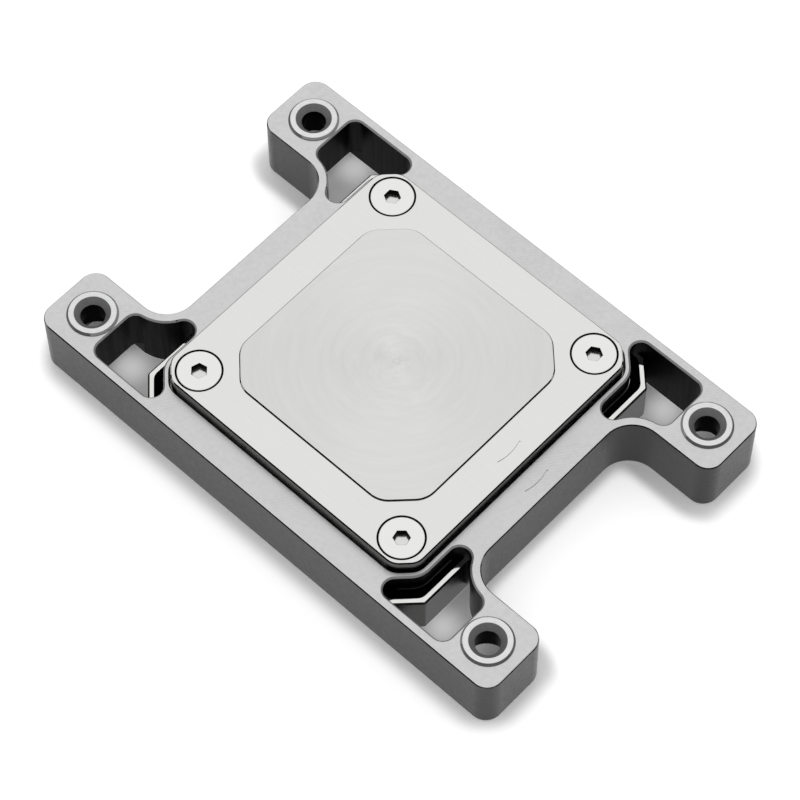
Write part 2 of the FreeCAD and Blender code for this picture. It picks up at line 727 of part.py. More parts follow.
# cold plate
plate = new_body("cold_plate")
plate.setExpression("Placement.Base.z", cell("plate_bottom"))
sketch = new_sketch(plate, "plate_outline")
add_box(sketch, "plate", "plate_size", "plate_size")
finish_sketch(sketch)
pad(plate, sketch, "plate_block", cell("plate_thickness"))
thick = size("plate_thickness")
clip_corners(plate, "plate", "plate_size", "plate_corner_leg", "plate_corner_radius")
dress(plate, "Chamfer", "plate_edges",
      edge_names(plate.Tip.Shape, lambda edge: level(edge, thick)), cell("plate_chamfer"))
sketch = new_sketch(plate, "pad_outline", cell("plate_thickness"))
add_box(sketch, "pad", "pad_size", "pad_size")
finish_sketch(sketch)
pad(plate, sketch, "contact_pad", cell("pad_height"))
clip_corners(plate, "pad", "pad_size", "pad_corner_leg", "pad_corner_radius")
pad_top = thick + size("pad_height")
dress(plate, "Chamfer", "pad_edges",
      edge_names(plate.Tip.Shape, lambda edge: level(edge, pad_top)), cell("pad_chamfer"))
sketch = new_sketch(plate, "screw_circles")
add_four_circles(sketch, "sink_bore_diameter", "screw_spacing_long", "screw_spacing_short")
finish_sketch(sketch)
pocket(plate, sketch, "screw_holes")
sink_r = size("sink_bore_diameter") / 2


def sink_mouth(edge):
    if not level(edge, thick):
        return False
    return near(edge.BoundBox.XMax - edge.BoundBox.XMin, 2 * sink_r, 1e-3)


dress(plate, "Chamfer", "countersinks", edge_names(plate.Tip.Shape, sink_mouth), cell("sink_size"))
cut_mark(plate, "plate_mark", "plate_mark_place", cell("plate_thickness"))

# plenums at both ends of the fins, then the channels between the fins
sketch = new_sketch(plate, "plenum_outline")
half_fin = size("fin_length") / 2
half_field = size("fin_field_width") / 2
deep = size("plenum_length")
points = [(half_fin, -half_field), (half_fin + deep, -half_field),
          (half_fin + deep, half_field), (half_fin, half_field)]
for i in range(4):
    p = FreeCAD.Vector(points[i][0], points[i][1], 0)
    q = FreeCAD.Vector(points[(i + 1) % 4][0], points[(i + 1) % 4][1], 0)
    sketch.addGeometry(Part.LineSegment(p, q), False)
for i in range(4):
    sketch.addConstraint(Sketcher.Constraint("Coincident", i, 2, (i + 1) % 4, 1))
sketch.addConstraint(Sketcher.Constraint("Horizontal", 0))
sketch.addConstraint(Sketcher.Constraint("Horizontal", 2))
sketch.addConstraint(Sketcher.Constraint("Vertical", 1))
sketch.addConstraint(Sketcher.Constraint("Symmetric", 3, 1, 3, 2, -1))
k = sketch.addConstraint(Sketcher.Constraint("DistanceX", -1, 1, 3, 1, half_fin))
bind(sketch, k, "start", "Sizes.fin_length / 2")
k = sketch.addConstraint(Sketcher.Constraint("DistanceX", 0, 1, 0, 2, deep))
bind(sketch, k, "deep", cell("plenum_length"))
k = sketch.addConstraint(Sketcher.Constraint("DistanceY", 1, 1, 1, 2, 2 * half_field))
bind(sketch, k, "wide", cell("fin_field_width"))
finish_sketch(sketch)
plenum_cut = pocket(plate, sketch, "plenum", cell("fin_depth"), upward=True)
plenums = plate.newObject("PartDesign::Mirrored", "plenums")
plenums.Originals = [plenum_cut]
plenums.MirrorPlane = (origin_feature(plate, "YZ_Plane"), [""])
plate.Tip = plenums
doc.recompute()
sketch = new_sketch(plate, "channel_outline")
channel = size("fin_channel")
points = [(-half_fin, 0), (half_fin, 0), (half_fin, channel), (-half_fin, channel)]
for i in range(4):
    p = FreeCAD.Vector(points[i][0], points[i][1] + half_field - channel, 0)
    q = FreeCAD.Vector(points[(i + 1) % 4][0], points[(i + 1) % 4][1] + half_field - channel, 0)
    sketch.addGeometry(Part.LineSegment(p, q), False)
for i in range(4):
    sketch.addConstraint(Sketcher.Constraint("Coincident", i, 2, (i + 1) % 4, 1))
sketch.addConstraint(Sketcher.Constraint("Vertical", 1))
sketch.addConstraint(Sketcher.Constraint("Vertical", 3))
sketch.addConstraint(Sketcher.Constraint("Symmetric", 0, 1, 0, 2, -2))
sketch.addConstraint(Sketcher.Constraint("Horizontal", 2))
k = sketch.addConstraint(Sketcher.Constraint("DistanceX", 0, 1, 0, 2, 2 * half_fin))
bind(sketch, k, "long", cell("fin_length"))
k = sketch.addConstraint(Sketcher.Constraint("DistanceY", 1, 1, 1, 2, channel))
bind(sketch, k, "wide", cell("fin_channel"))
k = sketch.addConstraint(Sketcher.Constraint("DistanceY", -1, 1, 1, 2, half_field))
bind(sketch, k, "place", "Sizes.fin_field_width / 2")
finish_sketch(sketch)
channel_cut = pocket(plate, sketch, "channel", cell("fin_depth"), upward=True)
channels = plate.newObject("PartDesign::LinearPattern", "channels")
channels.Originals = [channel_cut]
channels.Direction = (origin_feature(plate, "Y_Axis"), [""])
channels.Reversed = True
count = int((size("fin_field_width") - channel) / size("fin_pitch") + 1e-6) + 1
channels.setExpression(
    "Occurrences", "floor((Sizes.fin_field_width - Sizes.fin_channel) / Sizes.fin_pitch + 0.000001) + 1")
channels.setExpression(
    "Length", "Sizes.fin_pitch * floor((Sizes.fin_field_width - Sizes.fin_channel) / Sizes.fin_pitch + 0.000001)")
plate.Tip = channels
doc.recompute()

# body: flange, neck, cavity, seal groove, tapped holes and ports
body = new_body("top_body")
sketch = new_sketch(body, "flange_outline")
add_box(sketch, "flange", "flange_size", "flange_size")
finish_sketch(sketch)
pad(body, sketch, "flange_block", cell("flange_height"))
flange_top = size("flange_height")
sketch = new_sketch(body, "neck_outline", cell("flange_height"))
add_box(sketch, "neck", "plate_size", "plate_size")
finish_sketch(sketch)
pad(body, sketch, "neck_block", cell("neck_height"))
clip_corners(body, "neck", "plate_size", "plate_corner_leg", "plate_corner_radius")
# groove inside the lip of the flange, up to the foot of the frame's rim
sketch = new_sketch(body, "lip_groove_outline", cell("flange_height"))
add_box(sketch, "lip", "lip_size", "lip_size")
add_box(sketch, "foot", "foot_size", "foot_size")
finish_sketch(sketch)
pocket(body, sketch, "lip_groove", cell("lip_groove_depth"))
clip_corners(body, "lip", "lip_size", "lip_leg", "lip_radius")
clip_corners(body, "foot", "foot_size", "foot_leg", "foot_radius")
clip_corners(body, "flange", "flange_size", "flange_corner_leg", "flange_corner_radius")
lip_half = size("lip_size") / 2
lip_clip = size("lip_leg")
lip_slack = size("lip_inset") / 2


def flange_edge(edge):
    p = edge.valueAt((edge.FirstParameter + edge.LastParameter) / 2)
    beside = max(abs(p.x), abs(p.y)) > lip_half + lip_slack / 2
    across = abs(p.x) + abs(p.y) > 2 * lip_half - lip_clip + lip_slack
    return level(edge, flange_top) and (beside or across)


dress(body, "Chamfer", "flange_edges", edge_names(body.Shape, flange_edge), cell("flange_chamfer"))
sketch = new_sketch(body, "cavity_outline", cell("plate_bottom"))
add_round_box(sketch, "cavity", "cavity_length", "cavity_width", "cavity_corner_radius")
finish_sketch(sketch)
pocket(body, sketch, "cavity", cell("cavity_depth"))
sketch = new_sketch(body, "seal_outline", cell("plate_bottom"))
add_round_box(sketch, "outer", [(1, "seal_size"), (1, "seal_groove_width")],
              [(1, "seal_size"), (1, "seal_groove_width")],
              [(1, "seal_groove_radius"), (0.5, "seal_groove_width")])
add_round_box(sketch, "inner", [(1, "seal_size"), (-1, "seal_groove_width")],
              [(1, "seal_size"), (-1, "seal_groove_width")],
              [(1, "seal_groove_radius"), (-0.5, "seal_groove_width")])
finish_sketch(sketch)
pocket(body, sketch, "seal_groove", cell("seal_thickness"))
sketch = new_sketch(body, "tapped_circles", cell("plate_bottom"))
add_four_circles(sketch, "tapped_hole_diameter", "screw_spacing_long", "screw_spacing_short")
finish_sketch(sketch)
pocket(body, sketch, "tapped_holes", cell("tapped_hole_depth"))


# two circles on the long axis, the same distance either side of the middle
def add_pair(sketch, diameter, spacing):
    a = size(spacing) / 2
    r = size(diameter) / 2
    sketch.addGeometry(Part.Circle(FreeCAD.Vector(-a, 0, 0), up, r), False)
    sketch.addGeometry(Part.Circle(FreeCAD.Vector(a, 0, 0), up, r), False)
    k = sketch.addConstraint(Sketcher.Constraint("Diameter", 0, 2 * r))
    bind(sketch, k, "diameter", cell(diameter))
    sketch.addConstraint(Sketcher.Constraint("Equal", 0, 1))
    sketch.addConstraint(Sketcher.Constraint("Horizontal", 0, 3, 1, 3))
    sketch.addConstraint(Sketcher.Constraint("Symmetric", 0, 3, 1, 3, -1, 1))
    k = sketch.addConstraint(Sketcher.Constraint("DistanceX", 0, 3, 1, 3, 2 * a))
    bind(sketch, k, "spacing", cell(spacing))


sketch = new_sketch(body, "port_circles")
add_pair(sketch, "port_diameter", "port_spacing")
finish_sketch(sketch)
pocket(body, sketch, "ports", cell("port_depth"), upward=True)
port_r = size("port_diameter") / 2


def port_mouth(edge):
    return level(edge, 0.0) and near(edge.BoundBox.XMax - edge.BoundBox.XMin, 2 * port_r, 1e-3)


dress(body, "Chamfer", "port_mouths", edge_names(body.Shape, port_mouth), cell("port_chamfer"))
sketch = new_sketch(body, "passage_circles")
add_pair(sketch, "passage_diameter", "passage_spacing")
finish_sketch(sketch)
pocket(body, sketch, "passages", cell("plate_bottom"), upward=True)

# flow insert, resting on the floor of the cavity
insert = new_body("flow_insert")
insert.setExpression("Placement.Base.z", "Sizes.plate_bottom - Sizes.cavity_depth")
sketch = new_sketch(insert, "insert_outline")
add_round_box(sketch, "insert", "insert_length", "insert_width", "insert_radius")
finish_sketch(sketch)
pad(insert, sketch, "insert_block", cell("insert_thickness"))
sketch = new_sketch(insert, "recess_outline")
add_round_box(sketch, "recess", "recess_length", "recess_width", "recess_radius")
island_r = size("island_diameter") / 2
passage_x = size("passage_spacing") / 2
sketch.addGeometry(Part.Circle(FreeCAD.Vector(passage_x, 0, 0), up, island_r), False)
k = sketch.addConstraint(Sketcher.Constraint("Diameter", 8, 2 * island_r))
bind(sketch, k, "island", cell("island_diameter"))
sketch.addConstraint(Sketcher.Constraint("PointOnObject", 8, 3, -1))
k = sketch.addConstraint(Sketcher.Constraint("DistanceX", -1, 1, 8, 3, passage_x))
bind(sketch, k, "island_place", "Sizes.passage_spacing / 2")
finish_sketch(sketch)
pocket(insert, sketch, "recess", cell("insert_recess_depth"), upward=True)


def add_disc(sketch, tag, radius, place, formula, place_formula):
    index = sketch.GeometryCount
    sketch.addGeometry(Part.Circle(FreeCAD.Vector(place, 0, 0), up, radius), False)
    k = sketch.addConstraint(Sketcher.Constraint("Radius", index, radius))
    bind(sketch, k, tag + "_radius", formula)
    sketch.addConstraint(Sketcher.Constraint("PointOnObject", index, 3, -1))
    k = sketch.addConstraint(Sketcher.Constraint("DistanceX", -1, 1, index, 3, place))
    bind(sketch, k, tag + "_place", place_formula)


mid = size("inlet_seal_diameter") / 2
wide = size("inlet_seal_thickness") / 2
sketch = new_sketch(insert, "inlet_seal_outline")
add_disc(sketch, "outer", mid + wide, passage_x,
         "Sizes.inlet_seal_diameter / 2 + Sizes.inlet_seal_thickness / 2", "Sizes.passage_spacing / 2")
add_disc(sketch, "inner", mid - wide, passage_x,
         "Sizes.inlet_seal_diameter / 2 - Sizes.inlet_seal_thickness / 2", "Sizes.passage_spacing / 2")
finish_sketch(sketch)
pocket(insert, sketch, "inlet_seal_groove", cell("inlet_seal_thickness"), upward=True)
sketch = new_sketch(insert, "inlet_circle")
add_disc(sketch, "inlet", size("passage_diameter") / 2, passage_x,
         "Sizes.passage_diameter / 2", "Sizes.passage_spacing / 2")
finish_sketch(sketch)
pocket(insert, sketch, "inlet")


# a rectangle between two bound places along X, of bound width across
def add_strip(sketch, tag, start, end, wide, start_formula, end_formula, wide_formula):
    first = sketch.GeometryCount
    points = [(start, -wide / 2), (end, -wide / 2), (end, wide / 2), (start, wide / 2)]
    for i in range(4):
        p = FreeCAD.Vector(points[i][0], points[i][1], 0)
        q = FreeCAD.Vector(points[(i + 1) % 4][0], points[(i + 1) % 4][1], 0)
        sketch.addGeometry(Part.LineSegment(p, q), False)
    for i in range(4):
        sketch.addConstraint(Sketcher.Constraint("Coincident", first + i, 2, first + (i + 1) % 4, 1))
    sketch.addConstraint(Sketcher.Constraint("Horizontal", first))
    sketch.addConstraint(Sketcher.Constraint("Horizontal", first + 2))
    sketch.addConstraint(Sketcher.Constraint("Vertical", first + 1))
    sketch.addConstraint(Sketcher.Constraint("Symmetric", first + 3, 1, first + 3, 2, -1))
    k = sketch.addConstraint(Sketcher.Constraint("DistanceX", -1, 1, first, 1, start))
    bind(sketch, k, tag + "_start", start_formula)
    k = sketch.addConstraint(Sketcher.Constraint("DistanceX", first, 1, first, 2, end - start))
    bind(sketch, k, tag + "_run", "(" + end_formula + ") - (" + start_formula + ")")
    k = sketch.addConstraint(Sketcher.Constraint("DistanceY", first + 1, 1, first + 1, 2, wide))
    bind(sketch, k, tag + "_wide", wide_formula)


# channel from the inlet to the middle, and the trough across the fins
sketch = new_sketch(insert, "feed_outline", cell("insert_thickness"))
add_strip(sketch, "feed", 0.0001, passage_x, size("channel_width"),
          "0.0001", "Sizes.passage_spacing / 2", cell("channel_width"))
finish_sketch(sketch)
pocket(insert, sketch, "feed", cell("channel_depth"))
sketch = new_sketch(insert, "trough_outline", cell("insert_thickness"))
add_box(sketch, "trough", "trough_width", "trough_length")
finish_sketch(sketch)
pocket(insert, sketch, "trough", cell("channel_depth"))


# openings at both ends that lead the flow back from the plenums
def cut_returns(target, name, height):
    sketch = new_sketch(target, name + "_outline", height)
    outer = size("recess_length") / 2
    thin = size("return_slot_width")
    add_strip(sketch, "return", outer - thin, outer, size("trough_length"),
              "Sizes.recess_length / 2 - Sizes.return_slot_width", "Sizes.recess_length / 2",
              cell("trough_length"))
    finish_sketch(sketch)
    cut = pocket(target, sketch, name)
    pair = target.newObject("PartDesign::Mirrored", name + "_pair")
    pair.Originals = [cut]
    pair.MirrorPlane = (origin_feature(target, "YZ_Plane"), [""])
    target.Tip = pair
    doc.recompute()


cut_returns(insert, "insert_returns", None)

# jet plate between the insert and the fins
jet = new_body("jet_plate")
jet.setExpression("Placement.Base.z", "Sizes.plate_bottom - Sizes.jet_thickness")
sketch = new_sketch(jet, "jet_outline")
add_round_box(sketch, "jet", "insert_length", "insert_width", "insert_radius")
finish_sketch(sketch)
pad(jet, sketch, "jet_block", cell("jet_thickness"))
sketch = new_sketch(jet, "slot_outline")
add_box(sketch, "slot", "jet_slot_width", "trough_length")
finish_sketch(sketch)
pocket(jet, sketch, "slot")
cut_returns(jet, "jet_returns", None)

# main seal in its groove, and the small one round the inlet
ring = new_body("main_o_ring")
ring.setExpression("Placement.Base.z", "Sizes.plate_bottom - Sizes.seal_thickness / 2")
path = new_sketch(ring, "ring_path")
add_round_box(path, "path", "seal_size", "seal_size", "seal_groove_radius")
finish_sketch(path)
section = new_sketch(ring, "ring_section", None, "XZ_Plane")
half_path = size("seal_size") / 2
section.addGeometry(Part.Circle(FreeCAD.Vector(half_path, 0, 0), up, size("seal_thickness") / 2), False)
k = section.addConstraint(Sketcher.Constraint("Diameter", 0, size("seal_thickness")))
bind(section, k, "thick", cell("seal_thickness"))
section.addConstraint(Sketcher.Constraint("PointOnObject", 0, 3, -1))
k = section.addConstraint(Sketcher.Constraint("DistanceX", -1, 1, 0, 3, half_path))
bind(section, k, "place", "Sizes.seal_size / 2")
finish_sketch(section)
pipe = ring.newObject("PartDesign::AdditivePipe", "ring_sweep")
pipe.Profile = section
pipe.Spine = (path, ["Edge%d" % i for i in range(1, 9)])
ring.Tip = pipe
doc.recompute()

small = doc.addObject("Part::Torus", "inlet_o_ring")
small.Label = "inlet_o_ring"
small.setExpression("Radius1", "Sizes.inlet_seal_diameter / 2")
small.setExpression("Radius2", "Sizes.inlet_seal_thickness / 2")
small.setExpression("Placement.Base.x", "Sizes.passage_spacing / 2")
small.setExpression("Placement.Base.z", "Sizes.plate_bottom - Sizes.cavity_depth + Sizes.inlet_seal_thickness / 2")
doc.recompute()


# countersunk socket screw, head up, its top at the given place
def make_screw(label, sign_x, sign_y, turn):
    screw = new_body(label)
    screw.Placement = FreeCAD.Placement(FreeCAD.Vector(0, 0, 0), FreeCAD.Rotation(up, turn))
    screw.setExpression("Placement.Base.x", "%g * Sizes.screw_spacing_long / 2" % sign_x)
    screw.setExpression("Placement.Base.y", "%g * Sizes.screw_spacing_short / 2" % sign_y)
    screw.setExpression("Placement.Base.z", cell("plate_top"))
    head_r = size("screw_head_diameter") / 2
    shank_r = size("screw_diameter") / 2
    land = size("head_land")
    long = size("screw_length")
    tip = size("screw_tip_chamfer")
    profile = new_sketch(screw, label + "_profile", None, "XZ_Plane")
    points = [(0, 0), (head_r, 0), (head_r, -land), (shank_r, -land - head_r + shank_r),
              (shank_r, -long + tip), (shank_r - tip, -long), (0, -long)]
    total = len(points)
    for i in range(total):
        p = FreeCAD.Vector(points[i][0], points[i][1], 0)
        q = FreeCAD.Vector(points[(i + 1) % total][0], points[(i + 1) % total][1], 0)
        profile.addGeometry(Part.LineSegment(p, q), False)
    for i in range(total - 1):
        profile.addConstraint(Sketcher.Constraint("Coincident", i, 2, i + 1, 1))
    profile.addConstraint(Sketcher.Constraint("Coincident", total - 1, 2, 0, 1))
    profile.addConstraint(Sketcher.Constraint("Coincident", 0, 1, -1, 1))
    profile.addConstraint(Sketcher.Constraint("Horizontal", 0))
    profile.addConstraint(Sketcher.Constraint("Vertical", 1))
    profile.addConstraint(Sketcher.Constraint("Vertical", 3))
    profile.addConstraint(Sketcher.Constraint("Horizontal", 5))
    profile.addConstraint(Sketcher.Constraint("Vertical", 6))
    k = profile.addConstraint(Sketcher.Constraint("DistanceX", 0, 1, 0, 2, head_r))
    bind(profile, k, "head", "Sizes.screw_head_diameter / 2")
    k = profile.addConstraint(Sketcher.Constraint("DistanceY", 1, 2, 1, 1, land))
    bind(profile, k, "land", cell("head_land"))
    k = profile.addConstraint(Sketcher.Constraint("DistanceX", 2, 2, 2, 1, head_r - shank_r))
    bind(profile, k, "cone_wide", "(Sizes.screw_head_diameter - Sizes.screw_diameter) / 2")
    k = profile.addConstraint(Sketcher.Constraint("DistanceY", 2, 2, 2, 1, head_r - shank_r))
    bind(profile, k, "cone_deep", "(Sizes.screw_head_diameter - Sizes.screw_diameter) / 2")
    k = profile.addConstraint(Sketcher.Constraint("DistanceX", 4, 2, 4, 1, tip))
    bind(profile, k, "tip_wide", cell("screw_tip_chamfer"))
    k = profile.addConstraint(Sketcher.Constraint("DistanceY", 4, 2, 4, 1, tip))
    bind(profile, k, "tip_deep", cell("screw_tip_chamfer"))
    k = profile.addConstraint(Sketcher.Constraint("DistanceY", 6, 1, 6, 2, long))
    bind(profile, k, "long", cell("screw_length"))
    finish_sketch(profile)
    turned = screw.newObject("PartDesign::Revolution", label + "_turned")
    turned.Profile = profile
    turned.ReferenceAxis = (profile, ["V_Axis"])
    turned.Angle = 360.0
    screw.Tip = turned
    doc.recompute()
    socket = new_sketch(screw, label + "_socket_outline")
    reach = size("socket_width") / math.sqrt(3)
    corners = []
    for i in range(6):
        corners.append(FreeCAD.Vector(reach * math.cos(i * math.pi / 3), reach * math.sin(i * math.pi / 3), 0))
    for i in range(6):
        socket.addGeometry(Part.LineSegment(corners[i], corners[(i + 1) % 6]), False)
    socket.addGeometry(Part.Circle(FreeCAD.Vector(0, 0, 0), up, reach), True)
    for i in range(6):
        socket.addConstraint(Sketcher.Constraint("Coincident", i, 2, (i + 1) % 6, 1))
        socket.addConstraint(Sketcher.Constraint("PointOnObject", i, 1, 6))
    for i in range(5):
        socket.addConstraint(Sketcher.Constraint("Equal", i, i + 1))
    socket.addConstraint(Sketcher.Constraint("Coincident", 6, 3, -1, 1))
    socket.addConstraint(Sketcher.Constraint("PointOnObject", 0, 1, -1))
    k = socket.addConstraint(Sketcher.Constraint("Radius", 6, reach))
    bind(socket, k, "reach", "Sizes.socket_width / sqrt(3)")
    finish_sketch(socket)
    pocket(screw, socket, label + "_socket", cell("socket_depth"))
    return screw


screws = [
    make_screw("cold_plate_screw_a", -1, 1, 30.0),
    make_screw("cold_plate_screw_b", -1, -1, 12.0),
    make_screw("cold_plate_screw_c", 1, 1, 30.0),
    make_screw("cold_plate_screw_d", 1, -1, 42.0),
]

nodes = [frame, plate, body, insert, jet, ring, small] + screws
doc.recompute()

for item in doc.Objects:
    if "Invalid" in item.State or "Error" in item.State:
        raise RuntimeError("failed: " + item.Name + " " + str(item.State))
for node in nodes:
    if node.Shape.isNull() or not node.Shape.isValid() or len(node.Shape.Solids) != 1:
        raise RuntimeError("bad shape: " + node.Label)
for node in nodes:
    node.Shape.exportStep("parts/" + node.Label + ".step")
    box = node.Shape.BoundBox
    print("%-20s volume %9.2f  x %.2f..%.2f y %.2f..%.2f z %.2f..%.2f" % (
        node.Label, node.Shape.Volume, box.XMin, box.XMax, box.YMin, box.YMax, box.ZMin, box.ZMax))
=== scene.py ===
import math

import bmesh
import bpy
from mathutils import Matrix, Vector


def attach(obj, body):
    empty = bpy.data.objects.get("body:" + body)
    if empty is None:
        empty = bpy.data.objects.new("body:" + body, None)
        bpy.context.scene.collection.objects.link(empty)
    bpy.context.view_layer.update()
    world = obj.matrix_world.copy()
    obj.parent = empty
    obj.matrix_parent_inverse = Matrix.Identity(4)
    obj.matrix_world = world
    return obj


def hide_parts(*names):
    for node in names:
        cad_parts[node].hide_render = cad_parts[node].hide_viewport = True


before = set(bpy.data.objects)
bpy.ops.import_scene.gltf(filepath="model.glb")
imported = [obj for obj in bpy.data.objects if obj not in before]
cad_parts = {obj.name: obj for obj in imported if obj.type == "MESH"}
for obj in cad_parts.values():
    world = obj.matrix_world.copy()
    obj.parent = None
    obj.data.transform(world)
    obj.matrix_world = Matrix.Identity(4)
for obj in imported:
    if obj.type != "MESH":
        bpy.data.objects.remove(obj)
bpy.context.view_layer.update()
print("frame loaded:", ", ".join(sorted(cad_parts)))

mm = 0.001
perMetre = 1000
waveLength = 0.314  # length of one wave of the wave texture at scale 1
edgeSlope = 0.707  # upward part of the normal on an edge broken at 45 degrees
edgeSpan = 0.14
levelAbove = 0.9  # upward part of the normal on what counts as level
# a noise texture keeps near its middle, so one of these spans of it is stretched to the whole range
wideSpan = {"From Min": 0.3, "From Max": 0.7}
tightSpan = {"From Min": 0.35, "From Max": 0.65}
scene = bpy.context.scene


# colours are written as sRGB hex and turned linear here
def colour(hexText):
    channels = [int(hexText[i:i + 2], 16) / 255 for i in (1, 3, 5)]
    linear = [c / 12.92 if c <= 0.04045 else ((c + 0.055) / 1.055) ** 2.4 for c in channels]
    return (*linear, 1.0)


# adds one node, sets its properties and inputs, and links what is given as a socket or as a whole node
def add(tree, kind, inputs=None, **settings):
    node = tree.nodes.new(kind)
    for name, value in settings.items():
        setattr(node, name, value)
    for name, value in (inputs or {}).items():
        if isinstance(value, bpy.types.Node):
            value = next(socket for socket in value.outputs if socket.enabled)
        if isinstance(value, bpy.types.NodeSocket):
            tree.links.new(value, node.inputs[name])
        else:
            node.inputs[name].default_value = value
    return node


def newMaterial(name):
    material = bpy.data.materials.new(name)
    material.use_nodes = True
    material.node_tree.nodes.clear()
    return material, material.node_tree


# a piece's own coordinates in millimetres, and which way its surface faces
def measure(tree, scale=(perMetre, perMetre, perMetre)):
    place = add(tree, "ShaderNodeTexCoord")
    point = add(tree, "ShaderNodeVectorMath", {0: place.outputs["Object"], 1: scale},
                operation="MULTIPLY")
    return point, place.outputs["Normal"]


# a point in plan, and the same folded into one quarter, because the block's four corners are alike
def inPlan(tree, point):
    flat = add(tree, "ShaderNodeVectorMath", {0: point, 1: (1, 1, 0)}, operation="MULTIPLY")
    return flat, add(tree, "ShaderNodeVectorMath", {0: flat}, operation="ABSOLUTE")


def dress(thing, *materials):
    thing.data.materials.clear()
    for material in materials:
        thing.data.materials.append(material)


def meshObject(name, mesh):
    data = bpy.data.meshes.new(name)
    mesh.to_mesh(data)
    mesh.free()
    thing = bpy.data.objects.new(name, data)
    scene.collection.objects.link(thing)
    return thing


# stands a camera or a lamp at its place, with its own three axes
def stand(thing, across, up, back, place):
    matrix = Matrix((across, up, back)).transposed().to_4x4()
    matrix.translation = place
    thing.matrix_world = matrix
    scene.collection.objects.link(thing)


# camera, from the fit of the photograph
cameraLook = {
    "place": (0.19664, -0.20767, 0.50041),
    "forward": (-0.34158, 0.36192, -0.86737),
    "right": (0.73183, 0.68148, -0.00384),
    "lens": 152.42,
    "sensor": 36.0,
    "nearest": 0.01,
}


def buildCamera(look):
    data = bpy.data.cameras.new("camera")
    data.sensor_width = look["sensor"]
    data.lens = look["lens"]
    data.clip_start = look["nearest"]
    camera = bpy.data.objects.new("camera", data)
    backward = -Vector(look["forward"]).normalized()
    rightward = Vector(look["right"])
    rightward = (rightward - backward * rightward.dot(backward)).normalized()
    stand(camera, rightward, backward.cross(rightward), backward, look["place"])
    return camera


scene.camera = buildCamera(cameraLook)
scene.view_settings.view_transform = "Standard"

# light: a long softbox behind and above the block, in a pale room
lightLook = {
    "boxDirection": (-0.34, 0.36, 0.87),
    "boxDistance": 1.0,
    "boxLong": 2.2,
    "boxWide": 0.8,
    "boxPower": 0.32,
    "room": "#D8D8D8",
}


def buildLight(look):
    world = bpy.data.worlds.new("room")
    world.use_nodes = True
    tree = world.node_tree
    tree.nodes.clear()
    background = add(tree, "ShaderNodeBackground", {"Color": colour(look["room"]), "Strength": 1.0})
    add(tree, "ShaderNodeOutputWorld", {"Surface": background})
    scene.world = world

    lamp = bpy.data.lights.new("softbox", "AREA")
    lamp.shape = "RECTANGLE"
    lamp.size = look["boxWide"]
    lamp.size_y = look["boxLong"]
    lamp.energy = look["boxPower"] * math.pi * look["boxWide"] * look["boxLong"]
    softbox = bpy.data.objects.new("softbox", lamp)
    softbox.visible_camera = False
    direction = Vector(look["boxDirection"]).normalized()
    sideways = Vector((0, 0, 1)).cross(direction).normalized()
    stand(softbox, sideways, direction.cross(sideways), direction, direction * look["boxDistance"])


# the floor is white paper: matt, with a glow that lifts it to a clean white, as a bright studio does,
# but for a painted shadow close round the block and beneath it; its sizes are in millimetres
floorLook = {
    "colour": "#F7F7F7",
    "radius": 4.0,
    "segments": 96,
    "gap": 0.00005,  # keeps the paper off the block's underside
    "lift": 0.55,  # the glow far from the block, for the camera only
    "bounceLift": 0.40,  # the glow that the metal mirrors
    # painted shade: the glow is kept low beneath the block
    "paintedShadeLift": 0.10,  # the glow beneath the block, for the camera only
    "shadowStart": -0.5,
    "shadowReach": 4.4,
    "outlineCore": (46.4, 29.0, 0.0),
    "outlineRound": 5.0,
    "notch": (34.1, 18.2),
    "notchRound": 4.0,
    "notchFade": 1.5,  # how much narrower the shadow is in a notch
    "earRound": 4.0,
    # a painted pool of light under each window
    "paintedSpotLift": 0.35,
    "paintedSpotCentre": (36.1, 27.9, 0.0),
    "paintedSpotShift": (2.45, -2.5, 0.0),  # the spot lies where the camera sees the floor through a window
    "paintedSpotReach": 5.0,
}


# how far a point of the floor lies outside the block's outline, which is folded into one quarter
def outsideOutline(tree, corner, look):
    past = add(tree, "ShaderNodeVectorMath", {0: corner, 1: look["outlineCore"]}, operation="SUBTRACT")
    past = add(tree, "ShaderNodeVectorMath", {0: past, 1: (0, 0, 0)}, operation="MAXIMUM")
    past = add(tree, "ShaderNodeVectorMath", {0: past}, operation="LENGTH")
    outside = add(tree, "ShaderNodeMath", {0: past, 1: look["outlineRound"]}, operation="SUBTRACT")
    away = add(tree, "ShaderNodeSeparateXYZ", {0: corner}).outputs
    pastWaist = add(tree, "ShaderNodeMath", {0: away[0], 1: look["notch"][0]}, operation="SUBTRACT")
    pastEar = add(tree, "ShaderNodeMath", {0: look["notch"][1], 1: away[1]}, operation="SUBTRACT")
    inNotch = add(tree, "ShaderNodeMath", {0: pastWaist, 1: pastEar, 2: look["notchRound"]},
                  operation="SMOOTH_MIN")
    # the shadow is narrower in the notch, and round at the corner between the ear's end and the notch
    inNotch = add(tree, "ShaderNodeMath", {0: inNotch, 1: look["notchFade"], 2: look["earRound"]},
                  operation="MULTIPLY_ADD")
    atEnd = add(tree, "ShaderNodeMath", {0: outside, 1: look["earRound"]}, operation="ADD")
    within = add(tree, "ShaderNodeMath", {0: atEnd, 1: inNotch}, operation="MAXIMUM")
    within = add(tree, "ShaderNodeMath", {0: within, 1: 0.0}, operation="MINIMUM")
    within = add(tree, "ShaderNodeMath", {0: within, 1: look["earRound"]}, operation="SUBTRACT")
    beyond = add(tree, "ShaderNodeCombineXYZ", {0: atEnd, 1: inNotch})
    beyond = add(tree, "ShaderNodeVectorMath", {0: beyond, 1: (0, 0, 0)}, operation="MAXIMUM")
    beyond = add(tree, "ShaderNodeVectorMath", {0: beyond}, operation="LENGTH")
    return add(tree, "ShaderNodeMath", {0: beyond, 1: within}, operation="ADD")


